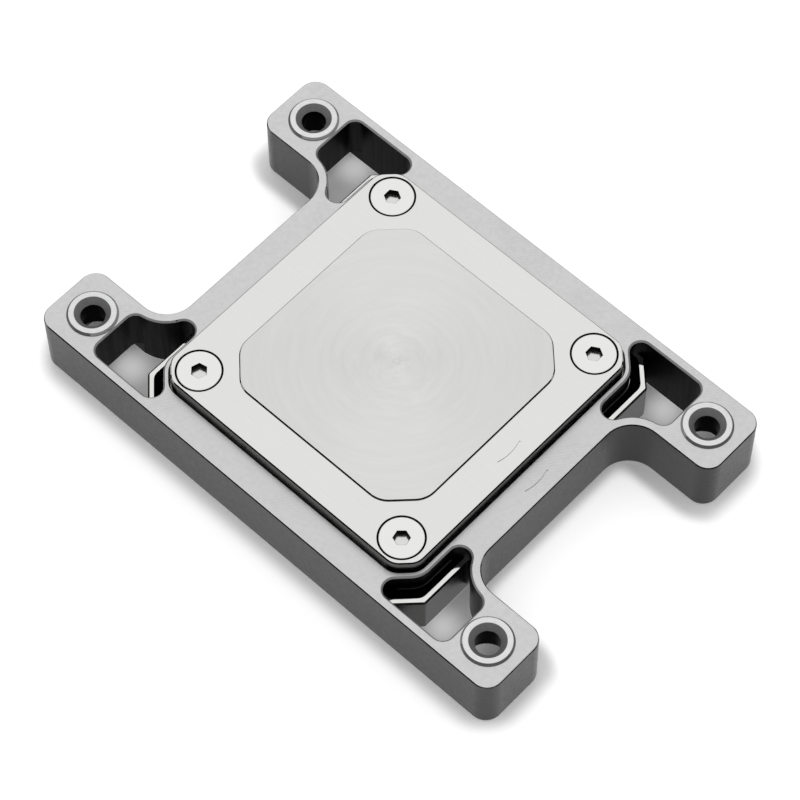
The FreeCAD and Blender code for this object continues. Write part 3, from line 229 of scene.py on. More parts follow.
def whitePaper(look):
    material, tree = newMaterial("white_paper")
    paint = add(tree, "ShaderNodeBsdfDiffuse", {"Color": colour(look["colour"])})
    flat, _ = measure(tree, (perMetre, perMetre, 0))
    corner = add(tree, "ShaderNodeVectorMath", {0: flat}, operation="ABSOLUTE")
    # for the camera the glow fades close to the block and stays low beneath it: a painted contact shadow
    clear = add(tree, "ShaderNodeMapRange", {
        "Value": outsideOutline(tree, corner, look),
        "From Min": look["shadowStart"], "From Max": look["shadowReach"],
        "To Min": look["paintedShadeLift"], "To Max": look["lift"]}, interpolation_type="SMOOTHERSTEP")
    # a painted pool of light: a soft spot of glow on the floor under each window
    spot = add(tree, "ShaderNodeVectorMath", {0: flat, 1: look["paintedSpotShift"]}, operation="ADD")
    spot = add(tree, "ShaderNodeVectorMath", {0: spot}, operation="ABSOLUTE")
    spot = add(tree, "ShaderNodeVectorMath", {0: spot, 1: look["paintedSpotCentre"]}, operation="DISTANCE")
    spot = add(tree, "ShaderNodeMapRange", {
        "Value": spot, "From Min": look["paintedSpotReach"], "From Max": 0.0,
        "To Min": look["paintedShadeLift"], "To Max": look["paintedSpotLift"]}, interpolation_type="SMOOTHSTEP")
    lift = add(tree, "ShaderNodeMath", {0: clear, 1: spot}, operation="MAXIMUM")
    path = add(tree, "ShaderNodeLightPath").outputs
    lift = add(tree, "ShaderNodeMath", {0: path["Is Camera Ray"], 1: lift}, operation="MULTIPLY")
    bounced = add(tree, "ShaderNodeMath", {0: path["Is Glossy Ray"], 1: path["Is Transmission Ray"]},
                  operation="ADD", use_clamp=True)
    lift = add(tree, "ShaderNodeMath", {0: bounced, 1: look["bounceLift"], 2: lift},
               operation="MULTIPLY_ADD")
    glow = add(tree, "ShaderNodeEmission", {"Color": colour("#FFFFFF"), "Strength": lift})
    both = add(tree, "ShaderNodeAddShader", {0: paint, 1: glow})
    # seen from below the paper is clear, so the underside can be looked at
    glass = add(tree, "ShaderNodeBsdfTransparent")
    below = add(tree, "ShaderNodeNewGeometry").outputs["Backfacing"]
    shown = add(tree, "ShaderNodeMixShader", {0: below, 1: both, 2: glass})
    add(tree, "ShaderNodeOutputMaterial", {"Surface": shown})
    return material


def buildFloor(look):
    mesh = bmesh.new()
    bmesh.ops.create_circle(mesh, cap_ends=True, radius=look["radius"], segments=look["segments"])
    bmesh.ops.translate(mesh, verts=mesh.verts, vec=(0, 0, -look["gap"]))
    floor = meshObject("floor", mesh)
    dress(floor, whitePaper(look))
    return floor


# black cards, for the bright edges to mirror: one hangs in an arc where the near broken edges look,
# and two low ones stand where the clipped corners look; the angles are in degrees round the block
cardLook = {
    "colour": "#050505",
    "radius": 0.85,
    "hung": (-128.0, 40.0),
    "low": ((-184.0, -150.0), (55.0, 89.0)),
    "lowHeight": 0.15,
    "middle": -44.0,
    "rise": 30.0,  # how high the hung card's middle is, in degrees above the block
    "drop": 9.5,  # how much lower it hangs, in degrees, at the spread to each side of its middle
    "spread": 67.0,
    "half": 7.0,  # half its height, in degrees
    "step": 4,
}


def blackCard(look):
    material, tree = newMaterial("black_card")
    paint = add(tree, "ShaderNodeBsdfDiffuse", {"Color": colour(look["colour"])})
    add(tree, "ShaderNodeOutputMaterial", {"Surface": paint})
    return material


def buildCards(look):
    mesh = bmesh.new()
    radius = look["radius"]
    for start, end in (look["hung"], *look["low"]):
        steps = math.ceil((end - start) / look["step"])
        rim = []
        for i in range(steps + 1):
            turn = start + (end - start) * i / steps
            bottom, top = 0.0, look["lowHeight"]
            if (start, end) == look["hung"]:
                rise = look["rise"] - look["drop"] * ((turn - look["middle"]) / look["spread"]) ** 2
                bottom = radius * math.tan(math.radians(rise - look["half"]))
                top = radius * math.tan(math.radians(rise + look["half"]))
            x, y = radius * math.cos(math.radians(turn)), radius * math.sin(math.radians(turn))
            rim.append((mesh.verts.new((x, y, bottom)), mesh.verts.new((x, y, top))))
        for (a, b), (c, d) in zip(rim, rim[1:]):
            mesh.faces.new((a, b, d, c))
    card = meshObject("card", mesh)
    dress(card, blackCard(look))
    card.visible_camera = False
    return card


buildLight(lightLook)
floor = buildFloor(floorLook)
card = buildCards(cardLook)
print("studio ready")

# the frame is milled aluminium, lightly blasted: satin tops with a fine mottle and the face mill's
# hatch; its walls are painted darker as shade, and its windows and bores painted nearly black as shade
frameFinish = {
    "topColour": "#D3D3D3",
    "bossColour": "#E4E4E4",
    # painted shade: the walls darker than the tops
    "shadedWallColour": "#3E3E3E",
    # painted shade: the window walls and the bores nearly black
    "windowShadeColour": "#242424",
    "boreShadeColour": "#0C0C0C",
    "seatColour": "#929292",
    "edgeColour": "#808080",
    "rimColour": "#B4B4B4",
    # painted shade: tints that take low-angle sheen off the windows and the bores
    "windowShadeTint": "#CACACA",
    "boreShadeTint": "#C0C0C0",
    "wallBelow": 0.55,  # upward part of the normal, below which a face counts as a wall
    "windowCentre": (36.0, 25.0, 0.0),
    "windowReach": 13.0,
    "notch": (33.6, 18.4),
    "boreCentre": (45.0, 27.0, 0.0),
    "boreReach": 2.25,
    "counterboreReach": 4.3,
    "counterboreHeight": 8.4,
    "bossHeight": 12.5,
    "bossReach": 4.6,
    "seatReach": 3.4,
    "streakWidth": 0.7,
    "streakStretch": 0.06,
    "streakTones": (0.55, 1.5),
    "mottleSize": 0.9,
    "mottleDepth": 0.075,
    "mottleGlint": 0.4,
    "hatchSpacing": 0.55,  # the real marks are finer; drawn as coarse as the render shows
    "hatchDepth": 0.05,
    "hatchTurn": 38.0,
    "hatchWaver": 1.2,
    "patchSize": 9.0,
    "patchSpan": (0.48, 0.62),
    "smooth": 0.30,
    "rough": 0.40,
    "brightRough": 0.13,
    "rimRough": 0.6,
    "seatRough": 0.6,
    "bump": 0.12,
    "bumpDepth": 0.0002,
}


# where a window's walls and rim are: their faces look to the window's middle, the outer ones away
def windowMask(tree, flat, corner, normal, look):
    side = add(tree, "ShaderNodeVectorMath", {0: flat}, operation="SIGN")
    facing = add(tree, "ShaderNodeVectorMath", {0: normal, 1: side}, operation="MULTIPLY")
    fromWindow = add(tree, "ShaderNodeVectorMath", {0: corner, 1: look["windowCentre"]},
                     operation="SUBTRACT")
    away = add(tree, "ShaderNodeVectorMath", {0: facing, 1: fromWindow}, operation="DOT_PRODUCT")
    inward = add(tree, "ShaderNodeMath", {0: away, 1: 0.0}, operation="LESS_THAN")
    distance = add(tree, "ShaderNodeVectorMath", {0: fromWindow}, operation="LENGTH")
    near = add(tree, "ShaderNodeMath", {0: distance, 1: look["windowReach"]}, operation="LESS_THAN")
    window = add(tree, "ShaderNodeMath", {0: inward, 1: near}, operation="MULTIPLY")
    # but the waist's outer wall, in the notch between the ears, doesn't belong to the window
    away = add(tree, "ShaderNodeSeparateXYZ", {0: corner}).outputs
    pastWaist = add(tree, "ShaderNodeMath", {0: away[0], 1: look["notch"][0]},
                    operation="GREATER_THAN")
    pastEar = add(tree, "ShaderNodeMath", {0: away[1], 1: look["notch"][1]}, operation="LESS_THAN")
    inNotch = add(tree, "ShaderNodeMath", {0: pastWaist, 1: pastEar}, operation="MULTIPLY")
    return add(tree, "ShaderNodeMath", {0: window, 1: inNotch}, operation="SUBTRACT", use_clamp=True)


def milledAluminium(look):
    material, tree = newMaterial("milled_aluminium")
    point, normal = measure(tree)
    flat, corner = inPlan(tree, point)
    upward = add(tree, "ShaderNodeSeparateXYZ", {0: normal}).outputs[2]
    upward = add(tree, "ShaderNodeMath", {0: upward}, operation="ABSOLUTE")
    wall = add(tree, "ShaderNodeMath", {0: upward, 1: look["wallBelow"]}, operation="LESS_THAN")
    edge = add(tree, "ShaderNodeMath", {0: upward, 1: edgeSlope, 2: edgeSpan}, operation="COMPARE")
    window = windowMask(tree, flat, corner, normal, look)
    outer = add(tree, "ShaderNodeMath", {0: 1.0, 1: window}, operation="SUBTRACT")
    rim = add(tree, "ShaderNodeMath", {0: window, 1: edge}, operation="MULTIPLY")
    window = add(tree, "ShaderNodeMath", {0: window, 1: wall}, operation="MULTIPLY")
    fromBore = add(tree, "ShaderNodeVectorMath", {0: corner, 1: look["boreCentre"]},
                   operation="DISTANCE")
    height = add(tree, "ShaderNodeSeparateXYZ", {0: point}).outputs[2]
    low = add(tree, "ShaderNodeMath", {0: height, 1: look["counterboreHeight"]},
              operation="LESS_THAN")
    reach = add(tree, "ShaderNodeMix", {0: low, 2: look["boreReach"], 3: look["counterboreReach"]},
                data_type="FLOAT")
    bore = add(tree, "ShaderNodeMath", {0: fromBore, 1: reach}, operation="LESS_THAN")
    bore = add(tree, "ShaderNodeMath", {0: bore, 1: wall}, operation="MULTIPLY")
    # the conical seat and the ring round it were turned after the blasting
    raised = add(tree, "ShaderNodeMath", {0: height, 1: look["bossHeight"]},
                 operation="GREATER_THAN")
    onSeat = add(tree, "ShaderNodeMath", {0: fromBore, 1: look["seatReach"]}, operation="LESS_THAN")
    seat = add(tree, "ShaderNodeMath", {0: onSeat, 1: edge}, operation="MULTIPLY")
    level = add(tree, "ShaderNodeMath", {0: upward, 1: levelAbove}, operation="GREATER_THAN")
    ring = add(tree, "ShaderNodeMath", {0: raised, 1: level}, operation="MULTIPLY")
    # the outer edges were broken with a bright cutter, so they mirror the dark card as a thin line
    beyond = add(tree, "ShaderNodeMath", {0: fromBore, 1: look["bossReach"]},
                 operation="GREATER_THAN")
    bright = add(tree, "ShaderNodeMath", {0: edge, 1: outer}, operation="MULTIPLY")
    bright = add(tree, "ShaderNodeMath", {0: bright, 1: beyond}, operation="MULTIPLY")
    # long marks of the end mill run down the window walls
    across = 1 / look["streakWidth"]
    streakPoint = add(tree, "ShaderNodeMapping", {
        "Vector": point, "Scale": (across, across, look["streakStretch"])})
    streak = add(tree, "ShaderNodeTexNoise", {"Vector": streakPoint, "Scale": 1.0, "Detail": 2.0})
    streakTone = add(tree, "ShaderNodeMapRange", {
        "Value": streak, **wideSpan,
        "To Min": look["streakTones"][0], "To Max": look["streakTones"][1]})
    # the window walls' painted shade, streaked by those marks
    windowShadeTone = add(tree, "ShaderNodeVectorMath", {
        0: colour(look["windowShadeColour"])[:3], "Scale": streakTone}, operation="SCALE")

    # layers of tone over the top colour; the walls, the window walls and the bores are painted shade
    tone = colour(look["topColour"])
    for where, paint in ((wall, colour(look["shadedWallColour"])), (window, windowShadeTone),
                         (edge, colour(look["edgeColour"])), (rim, colour(look["rimColour"])),
                         (ring, colour(look["bossColour"])), (seat, colour(look["seatColour"])),
                         (bore, colour(look["boreShadeColour"]))):
        tone = add(tree, "ShaderNodeMix", {0: where, 6: tone, 7: paint}, data_type="RGBA")

    # blasting leaves a fine blotchy mottle
    mottle = add(tree, "ShaderNodeTexNoise", {
        "Vector": point, "Scale": 1 / look["mottleSize"], "Detail": 4.0, "Roughness": 0.65})
    mottleTone = add(tree, "ShaderNodeMapRange", {
        "Value": mottle, **tightSpan, "To Min": 1 - look["mottleDepth"],
        "To Max": 1.0 + look["mottleDepth"] * look["mottleGlint"]})
    # the face mill's diagonal hatch shows in patches
    turned = add(tree, "ShaderNodeMapping", {
        "Vector": point, "Rotation": (0, 0, math.radians(look["hatchTurn"]))})
    hatch = add(tree, "ShaderNodeTexWave", {
        "Vector": turned, "Scale": waveLength / look["hatchSpacing"],
        "Distortion": look["hatchWaver"], "Detail": 2.0, "Detail Scale": 0.6}).outputs["Fac"]
    patch = add(tree, "ShaderNodeTexNoise", {
        "Vector": point, "Scale": 1 / look["patchSize"], "Detail": 1.0})
    patch = add(tree, "ShaderNodeMapRange", {
        "Value": patch, "From Min": look["patchSpan"][0], "From Max": look["patchSpan"][1],
        "To Min": 0.0, "To Max": look["hatchDepth"]})
    hatchTone = add(tree, "ShaderNodeMath", {0: hatch, 1: patch}, operation="MULTIPLY")
    shade = add(tree, "ShaderNodeMath", {0: mottleTone, 1: hatchTone}, operation="SUBTRACT")
    tone = add(tree, "ShaderNodeVectorMath", {0: tone, "Scale": shade}, operation="SCALE")

    roughness = add(tree, "ShaderNodeMapRange", {
        "Value": mottle, **wideSpan,
        "To Min": look["smooth"], "To Max": look["rough"]})
    for where, value in ((bright, "brightRough"), (rim, "rimRough"), (seat, "seatRough")):
        roughness = add(tree, "ShaderNodeMix", {0: where, 2: roughness, 3: look[value]},
                        data_type="FLOAT")
    relief = add(tree, "ShaderNodeMath", {0: mottle, 1: hatchTone}, operation="ADD")
    bump = add(tree, "ShaderNodeBump", {
        "Height": relief, "Strength": look["bump"], "Distance": look["bumpDepth"]})
    # painted shade: a tint takes some low-angle sheen off the windows, and more off the bores
    sheen = (1, 1, 1, 1)
    for where, tint in ((window, "windowShadeTint"), (bore, "boreShadeTint")):
        sheen = add(tree, "ShaderNodeMix", {0: where, 6: sheen, 7: colour(look[tint])},
                    data_type="RGBA")
    shader = add(tree, "ShaderNodeBsdfPrincipled", {
        "Base Color": tone, "Metallic": 1.0, "Roughness": roughness,
        "Specular Tint": sheen, "Normal": bump})
    add(tree, "ShaderNodeOutputMaterial", {"Surface": shader})
    return material


dress(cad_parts["mounting_frame"], milledAluminium(frameFinish))
print("frame finished")

# the cold plate is lapped copper with bright nickel: a soft mirror with straight lapping marks,
# and a contact pad that was faced on a lathe, so faint rings run round its middle
plateFinish = {
    "plateColour": "#E0E0DF",
    "padColour": "#E5E5E4",
    # painted shade: the walls darker than the top, the countersinks round the screws nearly black
    "shadedWallColour": "#868685",
    "edgeColour": "#A2A2A1",
    "sinkShadeColour": "#1E1E1E",
    "padHeight": 14.75,
    "wallBelow": 0.5,
    "screwCentre": (23.0, 23.55, 0.0),
    "sinkReach": 4.2,
    "sinkSlope": (0.95, 0.85),
    "lapWidth": 0.35,
    "lapLength": 7.0,
    "lapDepth": 0.02,
    "ringSpacing": 0.95,
    "ringDepth": 0.12,
    "ringLevel": 0.42,  # the noise value that leaves the pad's tone as it is
    "arcsPerTurn": 10,
    "arcSpan": (2.0, 13.0),  # the marks fade between these radii, by these two factors
    "arcFade": (2, 0.9),
    "markRadius": 0.55,
    "markWidth": 0.10,
    "markTone": 0.82,
    "cloudScale": 0.15,
    "smooth": 0.10,
    "rough": 0.17,
    "padRough": 0.37,
    "wallRough": 0.35,
    "edgeRough": 0.03,
    "turning": 0.9,
    "bump": 0.06,
    "bumpDepth": 0.0001,
}


# the lathe tool's marks are short arcs round the pad's middle, clearer near it
def turnedArcs(tree, radius, outward, look):
    around = add(tree, "ShaderNodeVectorMath", {
        0: outward, "Scale": look["arcsPerTurn"] / (2 * math.pi)}, operation="SCALE")
    rise = add(tree, "ShaderNodeMath", {0: radius, 1: look["ringSpacing"]}, operation="DIVIDE")
    rise = add(tree, "ShaderNodeCombineXYZ", {2: rise})
    arcPoint = add(tree, "ShaderNodeVectorMath", {0: around, 1: rise}, operation="ADD")
    ring = add(tree, "ShaderNodeTexNoise", {
        "Vector": arcPoint, "Scale": 1.0, "Detail": 3.0, "Roughness": 0.65})
    depth = add(tree, "ShaderNodeMapRange", {
        "Value": radius, "From Min": look["arcSpan"][0], "From Max": look["arcSpan"][1],
        "To Min": look["ringDepth"] * look["arcFade"][0],
        "To Max": look["ringDepth"] * look["arcFade"][1]})
    ring = add(tree, "ShaderNodeMath", {0: ring, 1: look["ringLevel"]}, operation="SUBTRACT")
    return add(tree, "ShaderNodeMath", {0: ring, 1: depth}, operation="MULTIPLY")


def nickelOnCopper(look):
    material, tree = newMaterial("nickel_plated_copper")
    point, normal = measure(tree)
    flat, corner = inPlan(tree, point)
    radius = add(tree, "ShaderNodeVectorMath", {0: flat}, operation="LENGTH")
    height = add(tree, "ShaderNodeSeparateXYZ", {0: point}).outputs[2]
    pad = add(tree, "ShaderNodeMath", {0: height, 1: look["padHeight"]}, operation="GREATER_THAN")
    upward = add(tree, "ShaderNodeSeparateXYZ", {0: normal}).outputs[2]
    wall = add(tree, "ShaderNodeMath", {0: upward, 1: look["wallBelow"]}, operation="LESS_THAN")
    broke = add(tree, "ShaderNodeMath", {0: upward, 1: edgeSlope, 2: edgeSpan}, operation="COMPARE")
    fromScrew = add(tree, "ShaderNodeVectorMath", {0: corner, 1: look["screwCentre"]},
                    operation="DISTANCE")
    sink = add(tree, "ShaderNodeMath", {0: fromScrew, 1: look["sinkReach"]}, operation="LESS_THAN")
    slope = add(tree, "ShaderNodeMapRange", {
        "Value": upward, "From Min": look["sinkSlope"][0], "From Max": look["sinkSlope"][1]})
    sink = add(tree, "ShaderNodeMath", {0: sink, 1: slope}, operation="MULTIPLY")

    # painted shade: the walls darker and the countersinks nearly black
    tone = colour(look["plateColour"])
    for where, paint in ((pad, "padColour"), (wall, "shadedWallColour"), (broke, "edgeColour"),
                         (sink, "sinkShadeColour")):
        tone = add(tree, "ShaderNodeMix", {0: where, 6: tone, 7: colour(look[paint])},
                   data_type="RGBA")

    # straight lapping marks on the rim
    lapPoint = add(tree, "ShaderNodeMapping", {
        "Vector": point, "Scale": (1 / look["lapLength"], 1 / look["lapWidth"], 1.0)})
    lap = add(tree, "ShaderNodeTexNoise", {"Vector": lapPoint, "Scale": 1.0, "Detail": 2.0})
    lap = add(tree, "ShaderNodeMath", {0: lap, 1: look["lapDepth"] * 2}, operation="MULTIPLY")
    outward = add(tree, "ShaderNodeVectorMath", {0: flat}, operation="NORMALIZE")
    ring = turnedArcs(tree, radius, outward, look)
    marks = add(tree, "ShaderNodeMix", {0: pad, 2: lap, 3: ring}, data_type="FLOAT")
    shade = add(tree, "ShaderNodeMath", {0: 1.0 + look["lapDepth"], 1: marks}, operation="SUBTRACT")
    # the tool's centre leaves one tiny ring
    offRing = add(tree, "ShaderNodeMath", {0: radius, 1: look["markRadius"]}, operation="SUBTRACT")
    offRing = add(tree, "ShaderNodeMath", {0: offRing}, operation="ABSOLUTE")
    mark = add(tree, "ShaderNodeMapRange", {
        "Value": offRing, "From Min": 0.0, "From Max": look["markWidth"],
        "To Min": look["markTone"], "To Max": 1.0})
    shade = add(tree, "ShaderNodeMath", {0: shade, 1: mark}, operation="MULTIPLY")
    tone = add(tree, "ShaderNodeVectorMath", {0: tone, "Scale": shade}, operation="SCALE")

    # the plating is a little uneven; turning leaves the pad duller than the rim, so a soft fan of light
    # stands on it, and the broken edges are left bright, so they mirror the dark card
    cloud = add(tree, "ShaderNodeTexNoise", {
        "Vector": point, "Scale": look["cloudScale"], "Detail": 2.0})
    roughness = add(tree, "ShaderNodeMapRange", {
        "Value": cloud, **wideSpan,
        "To Min": look["smooth"], "To Max": look["rough"]})
    for where, value in ((pad, "padRough"), (wall, "wallRough"), (broke, "edgeRough")):
        roughness = add(tree, "ShaderNodeMix", {0: where, 2: roughness, 3: look[value]},
                        data_type="FLOAT")
    # the marks end at the broken edges
    relief = add(tree, "ShaderNodeMix", {0: broke, 2: marks, 3: 0.0}, data_type="FLOAT")
    bump = add(tree, "ShaderNodeBump", {
        "Height": relief, "Strength": look["bump"], "Distance": look["bumpDepth"]})
    # light spreads across the marks: outward on the turned pad, and the short way over the lapping
    grain = add(tree, "ShaderNodeMix", {0: pad, 4: (0, 1, 0), 5: outward}, data_type="VECTOR")
    shader = add(tree, "ShaderNodeBsdfPrincipled", {
        "Base Color": tone, "Metallic": 1.0, "Roughness": roughness,
        "Anisotropic": look["turning"], "Tangent": grain, "Normal": bump})
    add(tree, "ShaderNodeOutputMaterial", {"Surface": shader})
    return material


dress(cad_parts["cold_plate"], nickelOnCopper(plateFinish))
print("cold plate finished")

# the body is brass with bright nickel over it: a clear mirror on the lip, duller on the milled sides,
# which are also painted darker as shade, and the groove inside the lip is painted black as shade
bodyFinish = {
    "lipColour": "#E4E4E2",
    # painted shade: the sides darker, the groove inside the lip black
    "shadedSideColour": "#4E4E4D",
    "grooveShadeColour": "#060606",
    "grooveOutside": 31.2,
    "grooveAcross": 58.6,
    "grooveTop": 8.30,
    "grooveFloor": 7.0,
    "grooveRough": 0.8,
    "sideSlope": (0.6, 0.3),
    "smooth": 0.04,
    "rough": 0.10,
    "dull": 0.25,
    "cloudSize": 5.0,
    "cloudTone": 0.94,
    "waveSize": 1.5,
    "bump": 0.05,
    "bumpDepth": 0.0001,
}


# where the groove inside the lip is, from four limits
def grooveMask(tree, point, look):
    apart = add(tree, "ShaderNodeVectorMath", {0: point}, operation="ABSOLUTE")
    apart = add(tree, "ShaderNodeSeparateXYZ", {0: apart}).outputs
    most = add(tree, "ShaderNodeMath", {0: apart[0], 1: apart[1]}, operation="MAXIMUM")
    both = add(tree, "ShaderNodeMath", {0: apart[0], 1: apart[1]}, operation="ADD")
    groove = None
    for value, operation, limit in (
            (most, "LESS_THAN", "grooveOutside"), (both, "LESS_THAN", "grooveAcross"),
            (apart[2], "LESS_THAN", "grooveTop"), (apart[2], "GREATER_THAN", "grooveFloor")):
        test = add(tree, "ShaderNodeMath", {0: value, 1: look[limit]}, operation=operation)
        if groove:
            test = add(tree, "ShaderNodeMath", {0: groove, 1: test}, operation="MULTIPLY")
        groove = test
    return groove


def platedBrass(look):
    material, tree = newMaterial("nickel_plated_brass")
    point, normal = measure(tree)
    groove = grooveMask(tree, point, look)
    upward = add(tree, "ShaderNodeSeparateXYZ", {0: normal}).outputs[2]
    upward = add(tree, "ShaderNodeMath", {0: upward}, operation="ABSOLUTE")
    side = add(tree, "ShaderNodeMapRange", {
        "Value": upward, "From Min": look["sideSlope"][0], "From Max": look["sideSlope"][1]})
    cloud = add(tree, "ShaderNodeTexNoise", {
        "Vector": point, "Scale": 1 / look["cloudSize"], "Detail": 3.0})
    roughness = add(tree, "ShaderNodeMapRange", {
        "Value": cloud, **tightSpan,
        "To Min": look["smooth"], "To Max": look["rough"]})
    for where, value in ((side, "dull"), (groove, "grooveRough")):
        roughness = add(tree, "ShaderNodeMix", {0: where, 2: roughness, 3: look[value]},
                        data_type="FLOAT")
    # painted shade: the sides darker and the groove black
    tone = colour(look["lipColour"])
    for where, paint in ((side, "shadedSideColour"), (groove, "grooveShadeColour")):
        tone = add(tree, "ShaderNodeMix", {0: where, 6: tone, 7: colour(look[paint])},
                   data_type="RGBA")
    shade = add(tree, "ShaderNodeMapRange", {
        "Value": cloud, **wideSpan, "To Min": 1.0, "To Max": look["cloudTone"]})
    tone = add(tree, "ShaderNodeVectorMath", {0: tone, "Scale": shade}, operation="SCALE")
    # polishing leaves the faces a little wavy
    wave = add(tree, "ShaderNodeTexNoise", {
        "Vector": point, "Scale": 1 / look["waveSize"], "Detail": 1.0})
    bump = add(tree, "ShaderNodeBump", {
        "Height": wave, "Strength": look["bump"], "Distance": look["bumpDepth"]})
    shader = add(tree, "ShaderNodeBsdfPrincipled", {
        "Base Color": tone, "Metallic": 1.0, "Roughness": roughness, "Normal": bump})
    add(tree, "ShaderNodeOutputMaterial", {"Surface": shader})
    return material


dress(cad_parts["top_body"], platedBrass(bodyFinish))
print("body finished")

# four countersunk socket screws, one pattern set on four points, each stopped at its own turn;
# sizes in millimetres
screwSizes = {
    "spacingLong": 46.0,
    "spacingShort": 47.1,
    "top": 14.6,
    "length": 10.0,
    "headRadius": 3.77,
    "headLand": 0.33,
    "edgeRound": 0.09,
    "roundShare": 0.3,  # how far in the rounding's middle lies
    "shankRadius": 2.0,
    "tip": 0.5,
    "socketAcross": 2.5,
    "socketDepth": 1.1,
    "socketMouth": 0.06,
    "landShare": 1.28,  # a round ring just outside the socket's corners
    "segments": 120,
    # where a corner of the socket points, in degrees, on the screw at each side
    "turns": {(-1, 1): 31.0, (-1, -1): 12.9, (1, 1): 31.0, (1, -1): 42.9},
}

screwFinish = {
    "headColour": "#E9E9E8",
    # painted shade on the socket's walls
    "socketShadeColour": "#060606",
    "socketFloorColour": "#DCDCDB",
    "socketStart": 0.005,  # how far below the head's face the socket's dark wall starts
    "socketReach": 0.65,  # of its size across flats, which takes in its corners
    "socketRough": 0.7,
    "ringSpacing": 0.35,
    "ringDepth": 0.03,
    "smooth": 0.14,
    "rough": 0.24,
}


# stainless steel, turned: the lathe leaves fine rings round each head's middle, and the pressed
# socket's walls are painted dark as shade, its floor bright
def turnedSteel(look, sizes):
    material, tree = newMaterial("turned_stainless_steel")
    point, normal = measure(tree)
    flat, corner = inPlan(tree, point)
    middle = (sizes["spacingLong"] / 2, sizes["spacingShort"] / 2, 0.0)
    radius = add(tree, "ShaderNodeVectorMath", {0: corner, 1: middle}, operation="DISTANCE")
    ringPoint = add(tree, "ShaderNodeCombineXYZ", {0: radius})
    ring = add(tree, "ShaderNodeTexNoise", {
        "Vector": ringPoint, "Scale": 1 / look["ringSpacing"], "Detail": 2.0})
    shade = add(tree, "ShaderNodeMapRange", {
        "Value": ring, **wideSpan,
        "To Min": 1 - look["ringDepth"], "To Max": 1.0})
    height = add(tree, "ShaderNodeSeparateXYZ", {0: point}).outputs[2]
    below = add(tree, "ShaderNodeMath", {0: height, 1: sizes["top"] - look["socketStart"]},
                operation="LESS_THAN")
    inside = add(tree, "ShaderNodeMath", {0: radius, 1: sizes["socketAcross"] * look["socketReach"]},
                 operation="LESS_THAN")
    socket = add(tree, "ShaderNodeMath", {0: below, 1: inside}, operation="MULTIPLY")
    upward = add(tree, "ShaderNodeSeparateXYZ", {0: normal}).outputs[2]
    bottom = add(tree, "ShaderNodeMath", {0: upward, 1: levelAbove}, operation="GREATER_THAN")
    # the socket's walls painted dark as shade, its floor bright
    socketTone = add(tree, "ShaderNodeMix", {
        0: bottom, 6: colour(look["socketShadeColour"]), 7: colour(look["socketFloorColour"])},
        data_type="RGBA")
    tone = add(tree, "ShaderNodeMix", {0: socket, 6: colour(look["headColour"]), 7: socketTone},
               data_type="RGBA")
    tone = add(tree, "ShaderNodeVectorMath", {0: tone, "Scale": shade}, operation="SCALE")
    roughness = add(tree, "ShaderNodeMapRange", {
        "Value": ring, **wideSpan,
        "To Min": look["smooth"], "To Max": look["rough"]})
    sunk = add(tree, "ShaderNodeMath", {0: 1.0, 1: bottom}, operation="SUBTRACT")
    sunk = add(tree, "ShaderNodeMath", {0: sunk, 1: socket}, operation="MULTIPLY")
    roughness = add(tree, "ShaderNodeMix", {0: sunk, 2: roughness, 3: look["socketRough"]},
                    data_type="FLOAT")
    shader = add(tree, "ShaderNodeBsdfPrincipled", {
        "Base Color": tone, "Metallic": 1.0, "Roughness": roughness})
    add(tree, "ShaderNodeOutputMaterial", {"Surface": shader})
    return material


# one screw, its axis on Z and its head up, as rings of points from the tip to the socket's bottom
def screwPattern(sizes):
    top, head, shank = sizes["top"], sizes["headRadius"], sizes["shankRadius"]
    half, edge, mouth = sizes["socketAcross"] / 2, sizes["edgeRound"], sizes["socketMouth"]
    count = sizes["segments"]

    def hexagon(angle, flat):
        return flat / math.cos(angle % (math.pi / 3) - math.pi / 6)

    # radius, height, whether the ring is six-sided, and whether the band above it is smooth
    bottom = top - sizes["length"]
    rings = [
        (shank - sizes["tip"], bottom, False, True),
        (shank, bottom + sizes["tip"], False, True),
        (shank, top - sizes["headLand"] - head + shank, False, True),
        (head, top - sizes["headLand"], False, True),
        (head, top - edge, False, True),
        (head - edge * sizes["roundShare"], top - edge * sizes["roundShare"], False, True),
        (head - edge, top, False, False),
        (half * sizes["landShare"], top, False, False),
        (half + mouth, top, True, False),
        (half, top - mouth, True, False),
        (half, top - sizes["socketDepth"], True, False),
    ]
    mesh = bmesh.new()
    loops = []
    for radius, height, sixSided, smooth in rings:
        loop = []
        for i in range(count):
            angle = 2 * math.pi * i / count
            r = hexagon(angle, radius) if sixSided else radius
            loop.append(mesh.verts.new((r * math.cos(angle) * mm, r * math.sin(angle) * mm,
                                        height * mm)))
        loops.append(loop)
    for k in range(len(rings) - 1):
        for i in range(count):
            j = (i + 1) % count
            face = mesh.faces.new((loops[k][i], loops[k][j], loops[k + 1][j], loops[k + 1][i]))
            face.smooth = rings[k][3]
    mesh.faces.new(list(reversed(loops[0])))
    mesh.faces.new(loops[-1])
    return meshObject("screw_pattern", mesh)


